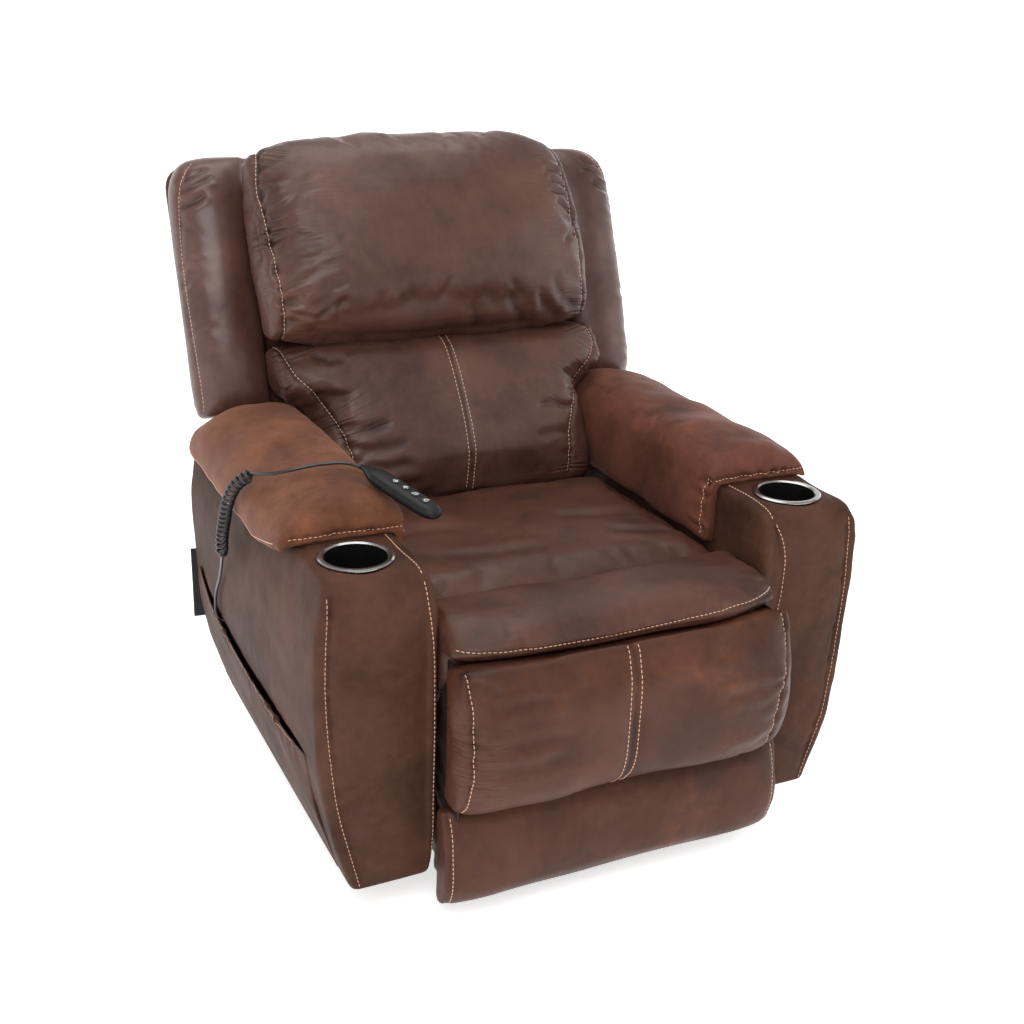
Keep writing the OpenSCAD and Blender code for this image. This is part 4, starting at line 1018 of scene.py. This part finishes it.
# ---------------------------------------------------------------- pads over the arms
PAD_UP = [[268, 461], [260, 476], [258, 510], [258, 550], [263, 585], [282, 612], [312, 624], [345, 626],
          [385, 620], [424, 604],
          [450, 586], [462, 562], [465, 540], [459, 525]]
PAD_LOW = [[281.4, 462], [281.4, 482], [281.4, 510], [281.4, 540], [281.4, 562.5], [300, 562.5], [324, 562.5],
           [350, 562.5],
           [385, 562.5], [420, 562.5], [438, 562.5], [447, 556], [452, 540], [456, 527]]
PAD_ALONG = [[147, 0.36], [149, 0.56], [156, 0.76], [168, 0.88], [192, 0.97], [240, 1], [320, 1], [420, 0.99],
             [520, 1],
             [600, 1], [640, 0.97], [668, 0.84], [686, 0.66], [697, 0.48], [703, 0.36]]

PAD_HEM = [(268, 570), (360, 573), (448, 571)]
PAD_FRONT, PAD_STITCH_Y, PAD_INSIDE = 147, 149, 264
HEM_HIGH, HEM_FALL, HEM_RUN, HEM_OUTSIDE = 556, 0.24, 200, 430
PAD_INNER = [(284, 180), (282, 320), (284, 460), (282, 640)]
PAD_FLANK = [(160, 474), (160, 520), (158, 550), (154, 572)]


def make_pad(side):
    """A pad draped over an arm: low + (up - low) share, with share from the stations along it, its front
    hemmed and pleated.
    """
    up, low = catmull(PAD_UP, 5), catmull(PAD_LOW, 5)
    st = catmull(PAD_ALONG, 4)
    q = low[None] + (up - low)[None] * st[:, 1][:, None, None]
    y = np.broadcast_to(st[:, 0][:, None], q.shape[:2])
    top = np.stack([q[..., 0] * side, y, q[..., 1]], -1)
    under = np.stack([np.broadcast_to(low[:, 0] * side, y.shape), y, np.broadcast_to(low[:, 1], y.shape)], -1)
    rings = np.concatenate([top, under[:, ::-1]], 1)
    hem_low = HEM_HIGH - HEM_FALL * np.clip(rings[..., 1] - PAD_FRONT, 0, HEM_RUN)
    outside = np.abs(rings[..., 0]) > HEM_OUTSIDE
    rings[..., 2] = np.where(outside, np.maximum(rings[..., 2], hem_low), rings[..., 2])
    obj = skin("arm_pad_cover_" + side_name(side), wound(rings, side > 0))
    fine_block(obj, 0.0055, 4)
    inner = mirrored(PAD_INNER, side)
    hem = [(side * a, PAD_STITCH_Y, b) for a, b in PAD_HEM]
    corner = [(side * PAD_INSIDE, a, b) for a, b in PAD_FLANK]

    def field(p, n):
        d2, top = p[:, :2], np.clip(n[:, 2] * 2, 0, 1)
        f = seam(p, hem, 4, 4) + pleats(p, hem, (0, 0.75, 0.6), 26, 62, 5, 2.6, 91 + side, 0.2)
        f += seam(p, corner, 4, 4) + pleats(p, corner, (0, 1, 0.1), 12, 50, 5, 2.6, 93, 0.2)
        f += (seam(d2, inner, 12, 1.6) + pleats(d2, inner, (side, 0), 8, 50, 8, 1.6, 95)) * top
        f += 2.0 * lumps(p, (120, 150, 110), 96 + side) + 0.4 * lumps(p, (44, 60, 40), 97)
        loose = rise(p[:, 2], 563, 568) + rise(-np.abs(p[:, 0]), -275, -270) + rise(np.abs(p[:, 0]), 444, 449)
        return f * np.clip(loose, 0, 1)
    sculpt(obj, field)
    return own(obj, "chair", "hide", "arm_pad_" + side_name(side), fill=0.7)


PAD_L = make_pad(-1)
PAD_R = make_pad(1)
EDGE_INSET = 4
PAD_OUT = [(172, 560), (220, 548), (300, 534), (450, 532), (600, 534), (676, 540)]


for sign, pad, arm in ((-1, PAD_L, ARM_L), (1, PAD_R, ARM_R)):
    tag = side_name(sign)
    stitches("pad_stitches_hem_" + tag, pad, "chair", mirrored(PAD_HEM, sign), from_front)
    stitches("pad_stitches_flank_" + tag, pad, "chair", shifted(PAD_FLANK, EDGE_INSET), from_side(-sign, 0.0))
    stitches("pad_stitches_edge_" + tag, pad, "chair", PAD_OUT, from_side(sign))
    stitches("arm_stitches_inner_" + tag, arm, "chair", shifted(ARM_FRONT_IN[sign], sign * ROW_INSET),
             from_front)
    stitches("arm_stitches_top_" + tag, arm, "chair", mirrored(shifted(ARM_TOP_IN, ROW_INSET), sign),
             from_above)
    outer_row = mirrored(shifted(ARM_FRONT_OUT, EDGE_INSET), sign)
    stitches("arm_stitches_outer_" + tag, arm, "chair", outer_row, from_front, thick=0.55)


# ---------------------------------------------------------------- wings and rear panel of the back
PANEL_U, BACK_DEPTH = 61.4, 70.0
WING = [[245, 60], [245, 13], [302, 12], [309, -4], [336, -19], [370, -26], [408, -15], [432, 10], [438, 36],
        [432, 56], [400, 60]]
WING_UP = [[236, 0.5, 0.93], [239, 0.64, 0.96], [249, 0.8, 0.98], [280, 0.93, 1], [360, 1, 1], [480, 1, 1],
           [560, 0.99, 1],
           [612, 0.95, 0.99], [650, 0.86, 0.965], [676, 0.7, 0.9], [690, 0.52, 0.82], [697, 0.36, 0.72]]
WING_EDGE = [(430, 247), (435, 480), (425, 630), (396, 682)]
WING_TUCKS = [[(426, 628), (396, 640), (362, 652)], [(420, 648), (392, 658), (366, 668)],
              [(424, 604), (402, 610), (380, 622)]]
WING_IN, WING_REAR = 245, 60.5


def make_wing(side):
    """A wing beside the back: its section shrinks rearwards and inwards near both ends; a stitched edge
    and a tuck at its top.
    """
    sec = catmull(WING, 5, closed=True)
    sec = np.stack([np.maximum(sec[:, 0], WING_IN), np.minimum(sec[:, 1], WING_REAR)], -1)
    st = catmull(WING_UP, 3)
    across = (WING_IN + (sec[None, :, 0] - WING_IN) * st[:, 2:3]) * side
    deep = WING_REAR + (sec[None, :, 1] - WING_REAR) * st[:, 1:2]
    rings = np.stack([across, deep, np.broadcast_to(st[:, 0:1], (len(st), len(sec)))], -1)
    obj = skin("wing_cover_" + side_name(side), leaning(wound(rings, side < 0)))
    fine_block(obj, 0.006, 3)
    edge = mirrored(WING_EDGE, side)

    def field(p, n):
        d2, front = p[:, ::2], rise(-p[:, 1], -30, 0)
        f = seam(d2, edge, 3.5, 4) + pleats(d2, edge, (-side, 0), 14, 50, 6, 2.2, 101 + side, 0.3)
        f = folded(f, d2, [mirrored(tuck, side) for tuck in WING_TUCKS], 6, 4.5)
        f += 1.3 * lumps(p, (110, 110, 170), 103 + side)
        return f * front * rise(p[:, 2], 239, 253)
    sculpt(obj, field, unlean)
    own(obj, "back", "hide", *(["back_wings"] if side < 0 else []), fill=0.8)
    row = mirrored(shifted(WING_EDGE, -EDGE_INSET), side)
    stitches("wing_stitches_" + side_name(side), obj, "back", row, from_back_front, thick=0.6)
    return obj


def make_back_panel():
    """The cover of the back's rear: a thin soft-edged slab, narrow between the arms and wide behind the
    wings.
    """
    rim = rounded([[-272, 22], [272, 22], [272, 252], [432, 252], [432, 688], [-432, 688], [-432, 252],
                   [-272, 252]],
                  [14, 14, 14, 14, 44, 44, 14, 14], 9)
    middle = rim.mean(0)
    rings = []
    for u, d in ((PANEL_U, 8), (PANEL_U, 3), (PANEL_U + 1.5, 0.8), (PANEL_U + 4, 0), (BACK_DEPTH - 2.5, 0),
                 (BACK_DEPTH - 0.8, 1.2),
                 (BACK_DEPTH - 0.2, 3.5), (BACK_DEPTH, 8)):
        q = rim + unit(middle - rim) * d
        rings.append(np.stack([q[:, 0], np.full(len(q), u), q[:, 1]], -1))
    obj = skin("back_panel_cover", leaning(np.array(rings)))
    return own(obj, "back", "hide", "back_panel", fill=0.9)


WING_L = make_wing(-1)
WING_R = make_wing(1)
PANEL = make_back_panel()


# ---------------------------------------------------------------- the pocket and the flaps
POCKET_FRONT, POCKET_REAR, POCKET_FOOT, POCKET_THICK = 63, 687, 63, 2.6
FLAP_IN, FLAP_OUT, FLAP_TOP, FLAP_LOW, FLAP_Y, FLAP_CURL = 352, 459, 329, 192, 735.4, 420


def make_pocket():
    """The pocket's skin over the left side: from the foot to its mouth line, its mouth standing off most
    mid-way.
    """
    mouth, side_line = catmull(MOUTH, 10), catmull(ARM_LINE, 6)
    y = np.linspace(POCKET_FRONT, POCKET_REAR, 140)
    high = np.interp(y, mouth[:, 0], mouth[:, 1])[:, None]
    t = np.linspace(0, 1, 44)[None]
    z = POCKET_FOOT + (high - POCKET_FOOT) * t
    ends = np.clip(np.minimum(y - POCKET_FRONT, POCKET_REAR - y) / 90, 0, 1)[:, None] ** 0.7
    belly = 0.4 + ends * (2.4 * np.sin(math.pi * t) + 6.0 * t ** 4)
    outer = np.stack([-(np.interp(z, side_line[:, 1], side_line[:, 0]) + belly),
                      np.broadcast_to(y[:, None], z.shape), z], -1)
    inner = outer + [POCKET_THICK, 0, 0]
    obj = skin("pocket_cover", np.concatenate([outer, inner[:, ::-1]], 1))
    divide(obj)
    sculpt(obj, lambda p,
           n: (1.1 * lumps(p, (110, 190, 80), 111)
               + pleats(p[:, 1:], MOUTH, (0, -1), 16, 60, 7, 1.6, 113, 0.3))
           * rise(p[:, 2], 70, 110))
    own(obj, "chair", "hide", "side_pocket", fill=0.3)
    stitches("pocket_stitches", obj, "chair", [(a, b - 6) for a, b in MOUTH[1:-1]], from_side(-1), thick=0.5)
    return obj


def make_flap(side):
    """A cloth flap hung at the rear edge of an arm and past its side, waved a little."""
    gx, gz = np.meshgrid(np.linspace(FLAP_IN, FLAP_OUT, 44), np.linspace(FLAP_TOP, FLAP_LOW, 44),
                         indexing="ij")
    share = (FLAP_TOP - gz) / (FLAP_TOP - FLAP_LOW)
    wave = 1.4 * np.sin(gx / 13 + 1) + 1.2 * np.sin(gx / 29 + gz / 40)
    gy = FLAP_Y + share * wave + 4 * rise(gx, FLAP_CURL, FLAP_OUT) ** 2
    front = np.stack([gx * side, gy, gz], -1)
    rings = np.concatenate([front, (front + [0, 1.0, 0])[:, ::-1]], 1)
    obj = skin("rear_flap_" + side_name(side), wound(rings, side > 0))
    return own(obj, "chair", "flap_cloth", *(["rear_flaps"] if side < 0 else []))


POCKET = make_pocket()
FLAP_L = make_flap(-1)
FLAP_R = make_flap(1)


# ---------------------------------------------------------------- the handset
HAND_AT, HAND_TURN = np.array([-297.0, 212.0, 635.0]), (math.radians(-11.5), math.radians(-157.3))
BUTTON_TOP, WELL_R = 12.2, 6.3
WELL_FLOOR, PLUNGER_SHARE, PLUNGER_FLOOR, WELL_SIDES = 6.9, 0.36, 2, 40
SIGN_HALF, SIGN_END, SIGN_SUNK, SIGN_PROUD = 0.65, 0.4, 0.2, 0.12


def button_y(i):
    """Where button i's middle lies along the handset."""
    return 52 + 21 * i


def in_hand(q):
    """From the handset's axes (across, along, up) to the chair's: turned about x by -11.5, about z by
    -157.3, moved.
    """
    rot = (Matrix.Rotation(HAND_TURN[1], 3, "Z") @ Matrix.Rotation(HAND_TURN[0], 3, "X"))
    return np.asarray(q, float) @ np.array(rot).T + HAND_AT


def make_handset():
    """The wand: superellipse sections |x / w|^2.5 + |z / h|^2.5 = 1 from the cord's boot to the round
    tip, four wells on top.
    """
    st = catmull([[-22, 3.7, 3.7], [-15, 4.6, 4.6], [-7, 7.6, 6.4], [3, 12.4, 8.6], [16, 16.4, 10.3],
                  [40, 18, 11], [88, 18, 11],
                  [118, 17.3, 10.6], [132, 15, 9.2], [140, 11, 6.8], [143.4, 6, 4], [144, 2, 1.4]], 4)
    a = 2 * math.pi * np.arange(56) / 56
    c, s = np.sign(np.cos(a)) * np.abs(np.cos(a)) ** 0.8, np.sign(np.sin(a)) * np.abs(np.sin(a)) ** 0.8
    rings = np.stack([st[:, 1:2] * c, np.broadcast_to(st[:, :1], (len(st), 56)),
                      np.minimum(st[:, 2:3] * s, 10.9)], -1)
    obj = skin("handset_body", in_hand(rings))
    k = 2 * math.pi * np.arange(WELL_SIDES) / WELL_SIDES
    for i in range(4):
        disc = np.stack([WELL_R * np.cos(k), button_y(i) + WELL_R * np.sin(k)], -1)
        hole = (disc - [0, button_y(i)]) * PLUNGER_SHARE + [0, button_y(i)]
        for ring, high, low in ((disc, 15, WELL_FLOOR), (hole, 8, PLUNGER_FLOOR)):
            cut_away(obj, in_hand(np.array([np.c_[ring, np.full(WELL_SIDES, z)] for z in (high, low)])))
    soft = obj.modifiers.new("soft", "BEVEL")
    soft.width, soft.segments, soft.limit_method, soft.angle_limit = 0.0005, 2, "ANGLE", math.radians(50)
    baked(obj)
    obj.data.shade_smooth()
    return own(obj, "chair", "handset_plastic", "handset_shell")


ICONS = (([(-3.6, -1), (0, 3), (3.6, -1)], [(0, 3), (0, -4)]),
         ([(-3.6, 1), (0, -3), (3.6, 1)], [(0, -3), (0, 4)]),
         ([(-3.4, 3.4), (-1.4, -1.6), (3.6, -1.6), (3.6, -4)], [(-0.4, 3.6), (3.2, 1.2)]),
         ([(-4, 3.4), (-2.4, -1.2), (1.6, -1.2), (4, 1.6)], [(-0.2, 3.6), (2.6, 3.4)]))


BOX_FACES = ((3, 2, 1, 0), (4, 5, 6, 7), (0, 1, 5, 4), (1, 2, 6, 5), (2, 3, 7, 6), (3, 0, 4, 7))


def make_icon(i):
    """A pale printed sign on one button: bars along short lines, 0.12 mm proud."""
    verts, faces = [], []
    for line in ICONS[i]:
        for a, b in zip(line, line[1:]):
            a, b = np.array(a, float), np.array(b, float)
            t = unit(b - a)
            w, end = np.array([-t[1], t[0]]) * SIGN_HALF, t * SIGN_END
            q = np.array([a - end + w, a - end - w, b + end - w, b + end + w])
            base = len(verts)
            for z in (BUTTON_TOP - SIGN_SUNK, BUTTON_TOP + SIGN_PROUD):
                verts += [[p[0], button_y(i) + p[1], z] for p in q]
            faces += [[base + k for k in f] for f in BOX_FACES]
    obj = mesh_object("button_sign_%d" % (i + 1), place(in_hand(np.array(verts))), faces, smooth_shade=False)
    return own(obj, "button_%d" % (i + 1), "button_plastic")


HANDSET = make_handset()
SIGNS = [make_icon(i) for i in range(4)]


# ---------------------------------------------------------------- materials
def linear(r, g, b):
    """sRGB 0 to 255 to linear: ((c / 255 + 0.055) / 1.055) ^ 2.4."""
    return tuple(((c / 255 + 0.055) / 1.055) ** 2.4 if c > 10 else c / 255 / 12.92 for c in (r, g, b))


RILLS = (62, 7, 0)                             # waves per metre along a seam and away from it


def leather(name, dark, light, tan, patches=0.45, rough=0.5, spread=0.16, grain=0.16, coat=0.1, shift=0.0,
            nap=0.0, shine=0.3):
    """Mottled faux leather: clouds from dark to light, warm worn patches, painted shade darkening the folds, a
    pebbled grain.
    """
    g = Graph(name, Specular_IOR_Level=shine, Coat_Roughness=0.3, Sheen_Weight=nap, Sheen_Roughness=0.45,
              Sheen_Tint=(*linear(205, 170, 160), 1))
    at = g.vector("ADD", g.object, (shift, shift * 0.7, -shift))
    cloud = g.noise(6.5, 5.0, 0.6, at, 0.5).step(0.25, 0.75)
    worn = g.noise(4.2, 4.0, 0.6, at, 0.9).step(0.5, 0.78) * g.noise(26.0, 3.0, 0.6, at).step(0.25, 0.7)
    fine = g.noise(60.0, 3.0, 0.6, at)
    fold = g.node("ShaderNodeAttribute", {}, out="Fac", attribute_name="fold")
    base = g.mix(cloud * 0.75 + fine.step(0.2, 0.8) * 0.25, linear(*dark), linear(*light))
    base = g.mix(worn * patches, base, linear(*tan))
    # painted shade: where the surface was pushed in, the colour is mixed up to 0.8 towards a quarter of the
    # dark tone
    g.to("Base Color", g.mix(fold.step(0.0, 1.0) * 0.8, base, tuple(0.25 * c for c in linear(*dark))))
    pebble = g.cells(430.0, "SMOOTH_F1", at).step(0.0, 0.9)
    crumple = g.noise(110.0, 3.0, 0.55, at, 0.3)
    g.to("Roughness", g.noise(22.0, 4.0, 0.6, at) * spread * 2 + (rough - spread) + fold * 0.15)
    g.to("Coat Weight", cloud * coat)
    pull = g.node("ShaderNodeAttribute", {}, out="Vector", attribute_name="gather")
    wave = g.noise(1.0, 2.0, 0.45, g.vector("MULTIPLY", pull, RILLS), 0.7)
    some = g.noise(9.0, 2.0, 0.5, at).step(0.4, 0.62)
    rills = (wave - 0.5).calc("ABSOLUTE").step(0.0, 0.2) * some * g.node("ShaderNodeSeparateXYZ", [pull],
                                                                         out="Z")
    soft = g.bump(rills, 0.0042, g.bump(g.noise(24.0, 2.0, 0.5, at), 0.0010))
    g.to("Normal", g.bump(pebble * -0.5 + crumple * 0.9, grain / 1000, soft))
    return g.material


def plain(name, colour, rough, metal=0.0, speck=60.0, depth=0.02, **constants):
    """One tone with slight unevenness in colour, roughness and surface."""
    g = Graph(name, **constants)
    n = g.noise(speck, 3.0)
    c = linear(*colour)
    g.to("Base Color", g.mix(n, tuple(0.82 * k for k in c), tuple(min(1, 1.15 * k) for k in c)))
    g.to("Roughness", n * 0.16 + (rough - 0.08))
    g.bsdf.inputs["Metallic"].default_value = metal
    g.to("Normal", g.bump(g.noise(speck * 9, 2.0), depth / 1000))
    return g.material


def brushed(name, centres):
    """Steel brushed in circles round each centre: streaks from noise of the radius, on a dark tone that is
    painted reflection.
    """
    g = Graph(name, Metallic=1.0, Anisotropic=0.5)
    streaks = None
    for x, y in centres:
        level = g.vector("MULTIPLY", g.vector("SUBTRACT", g.object, (x, y, 0)), (1, 1, 0))
        radius = g.vector("LENGTH", level, out="Value")
        near = radius.step(0.08, 0.07)
        one = (g.node("ShaderNodeTexNoise", {"W": radius * 2600.0, "Scale": 1.0, "Detail": 2.0},
                      noise_dimensions="1D") * near)
        streaks = one if streaks is None else streaks + one
    # painted reflection: the steel's tone, 0.22 to 0.5, is kept dark for the dark reflections on the chrome
    g.to("Base Color", g.mix(streaks, (0.22, 0.21, 0.2), (0.5, 0.49, 0.48)))
    g.to("Roughness", streaks * 0.12 + 0.16)
    return g.material


def plywood(name):
    """Plywood: long grain along x, darker plies in z."""
    g = Graph(name, Specular_IOR_Level=0.3)
    grain = g.noise(30.0, 5.0, 0.6, g.stretch(0.25, 3.0, 3.0), 0.8)
    ring = g.noise(260.0, 2.0, 0.5, g.stretch(0.1, 1.0, 1.0))
    g.to("Base Color", g.mix(grain * 0.7 + ring * 0.3, linear(150, 112, 74), linear(206, 168, 120)))
    g.to("Roughness", grain * 0.2 + 0.55)
    g.to("Normal", g.bump(ring, 0.0001))
    return g.material


def woven(name, colour):
    """Black cloth: two crossed rows of threads."""
    g = Graph(name, Sheen_Weight=0.3, Specular_IOR_Level=0.25)
    x, y, z = (g.node("ShaderNodeSeparateXYZ", [g.object], out=k) for k in "XYZ")
    weave = (x * 4200.0).calc("SINE") * (z * 4200.0).calc("SINE")
    c = linear(*colour)
    g.to("Base Color", g.mix(weave * 0.5 + 0.5, tuple(0.6 * k for k in c), c))
    g.to("Roughness", g.noise(40.0) * 0.1 + 0.8)
    g.to("Normal", g.bump(weave, 0.0002))
    return g.material


HIDE = leather("hide_seat", (54, 31, 23), (88, 54, 43), (112, 68, 46), 0.3, 0.46, 0.1, coat=0.06)
HIDE_LEG = leather("hide_legrest", (56, 31, 22), (86, 50, 36), (128, 74, 38), 0.6, 0.46, 0.1, coat=0.04,
                   shift=1.7, shine=0.2)
HIDE_LUMBAR = leather("hide_lumbar", (58, 34, 28), (94, 64, 54), (108, 68, 50), 0.25, 0.42, 0.1, coat=0.1,
                      shift=3.1)
HIDE_PILLOW = leather("hide_pillow", (56, 33, 27), (88, 58, 48), (108, 68, 50), 0.2, 0.4, 0.08, coat=0.14,
                      shift=4.4)
HIDE_WING = leather("hide_wing", (58, 35, 29), (92, 62, 54), (104, 68, 52), 0.2, 0.34, 0.08, coat=0.35,
                    shift=5.3)
HIDE_ARM = leather("hide_arm", (50, 31, 23), (84, 55, 43), (112, 66, 42), 0.35, 0.58, 0.1, coat=0.0,
                   shift=6.2, shine=0.1)
HIDE_SIDE = leather("hide_rear", (60, 38, 30), (90, 62, 51), (112, 74, 54), 0.25, 0.6, 0.1, coat=0.0,
                    shift=7.9, nap=0.05, shine=0.1)
HIDE_PAD = leather("hide_pads", (76, 43, 27), (124, 78, 55), (154, 96, 60), 0.6, 0.66, 0.08, coat=0.0,
                   shift=9.3, nap=0.2, shine=0.15)
# painted shade: the right pad's leather is a darker copy of the pads' leather, for the lesser light on that
# side
HIDE_PAD_R_SHADED = leather("hide_pads_right", (66, 37, 29), (108, 64, 50), (134, 80, 56), 0.45, 0.6, 0.08, coat=0.0,
                     shift=10.8, nap=0.14, shine=0.12)
# painted shade: the gusset's leather is about half as light as the other hides, for the shade deep between
# legrest and arm
HIDE_GUSSET_SHADED = leather("hide_gusset", (26, 16, 13), (44, 29, 25), (50, 34, 28), 0.2, 0.5, 0.1, coat=0.0,
                    shift=12.1)
THREAD = plain("thread", (216, 168, 138), 0.6, speck=300.0)
BLACK = plain("black_paint", (30, 30, 32), 0.42, speck=90.0)
ZINC = plain("zinc", (168, 170, 174), 0.34, 1.0, speck=70.0)
PLASTIC = plain("black_moulding", (20, 20, 21), 0.45, speck=120.0, depth=0.05)
WELL = plain("cup_moulding", (14, 13, 13), 0.32, speck=90.0)
RUBBER = plain("glide_rubber", (26, 26, 26), 0.8, speck=80.0)
SHELL = plain("handset_moulding", (11, 11, 12), 0.48, speck=160.0, depth=0.06, Specular_IOR_Level=0.28)
KEYS = plain("handset_keys", (44, 44, 47), 0.5, speck=160.0)
INK = plain("pale_ink", (214, 214, 210), 0.5, speck=200.0)
CORD_SKIN = plain("cord_jacket", (18, 19, 22), 0.36, speck=140.0, Coat_Weight=0.2)
PLY = plywood("ply")
CLOTH = woven("flap_weave", (30, 30, 32))
RING = brushed("ring_brushed", [tuple(place([s * CUP[0], CUP[1], 0])[:2]) for s in (-1, 1)])


def paint(obj, material):
    """Every face of the piece in one material."""
    if obj.data.materials:
        for k in range(len(obj.data.materials)):
            obj.data.materials[k] = material
    else:
        obj.data.materials.append(material)


for piece, material in ((PILLOW_COVER, HIDE_PILLOW), (LUMBAR_COVER, HIDE_LUMBAR), (SEAT_COVER, HIDE),
                        (ROLL_COVER, HIDE),
                        (LEG_COVER, HIDE_LEG), (KICK_COVER, HIDE_LEG), (ARM_L, HIDE_ARM), (ARM_R, HIDE_ARM),
                        (PAD_L, HIDE_PAD),
                        (PAD_R, HIDE_PAD_R_SHADED), (WING_L, HIDE_WING), (WING_R, HIDE_WING), (PANEL, HIDE_SIDE),
                        (POCKET, HIDE_ARM),
                        (GUSSET_L, HIDE_GUSSET_SHADED), (GUSSET_R, HIDE_GUSSET_SHADED), (FLAP_L, CLOTH), (FLAP_R, CLOTH),
                        (CORD, CORD_SKIN),
                        (HANDSET, SHELL), *((sign, INK) for sign in SIGNS),
                        *((row, THREAD) for row in THREADS)):
    paint(piece, material)

FINISH = {"frame_steel": BLACK, "link_zinc": ZINC, "timber": PLY, "black_plastic": PLASTIC,
          "glide_rubber": RUBBER,
          "ring_steel": RING, "handset_plastic": SHELL, "button_plastic": KEYS}
for part in frame["record"]["subparts"]:
    node = bpy.data.objects.get(part["node"])
    if node is not None and part["material_slot"] in FINISH:
        node.data.materials.clear()
        node.data.materials.append(WELL if part["node"] == "cup_wells" else FINISH[part["material_slot"]])


# ---------------------------------------------------------------- floor, lights
FLOOR_HALF, FLOOR_Z, WALL_HIGH = 30.0, -0.0005, 16.0
LIGHTS_AIM, WORLD_LIGHT = (0, 0, 0.5), 0.55


def add_floor():
    """A wide pale floor with a pale wall far behind and at both sides."""
    k = FLOOR_HALF
    low, high = ([[-k, -k, z], [k, -k, z], [k, k, z], [-k, k, z]] for z in (FLOOR_Z, WALL_HIGH))
    obj = mesh_object("floor_sheet", low + high, [(0, 1, 2, 3), (2, 1, 5, 6), (3, 2, 6, 7), (0, 3, 7, 4)],
                      False)
    g = Graph("floor_paint", Roughness=0.9, Emission_Color=(1, 1, 1, 1), Emission_Strength=0.6)
    g.to("Base Color", g.mix(g.noise(2.0), (0.9, 0.9, 0.9), (0.92, 0.92, 0.92)))
    obj.data.materials.append(g.material)


def add_light(name, at, size, power):
    """A soft square lamp that looks at the chair's middle."""
    data = bpy.data.lights.new(name, "AREA")
    data.shape, data.size, data.energy = "SQUARE", size, power
    obj = bpy.data.objects.new(name, data)
    obj.location = at
    obj.rotation_euler = (Vector(LIGHTS_AIM) - Vector(at)).to_track_quat("-Z", "Y").to_euler()
    SCENE.collection.objects.link(obj)


add_floor()
add_light("key", (-1.5, -2.8, 3.5), 2.2, 88)
add_light("fill", (3.0, -2.4, 2.2), 2.6, 18)
add_light("top", (0.0, 0.6, 3.4), 2.4, 46)
world = bpy.data.worlds.new("soft_white")
world.use_nodes = True
world.node_tree.nodes["Background"].inputs[0].default_value = (1, 1, 1, 1)
world.node_tree.nodes["Background"].inputs[1].default_value = WORLD_LIGHT
SCENE.world = world
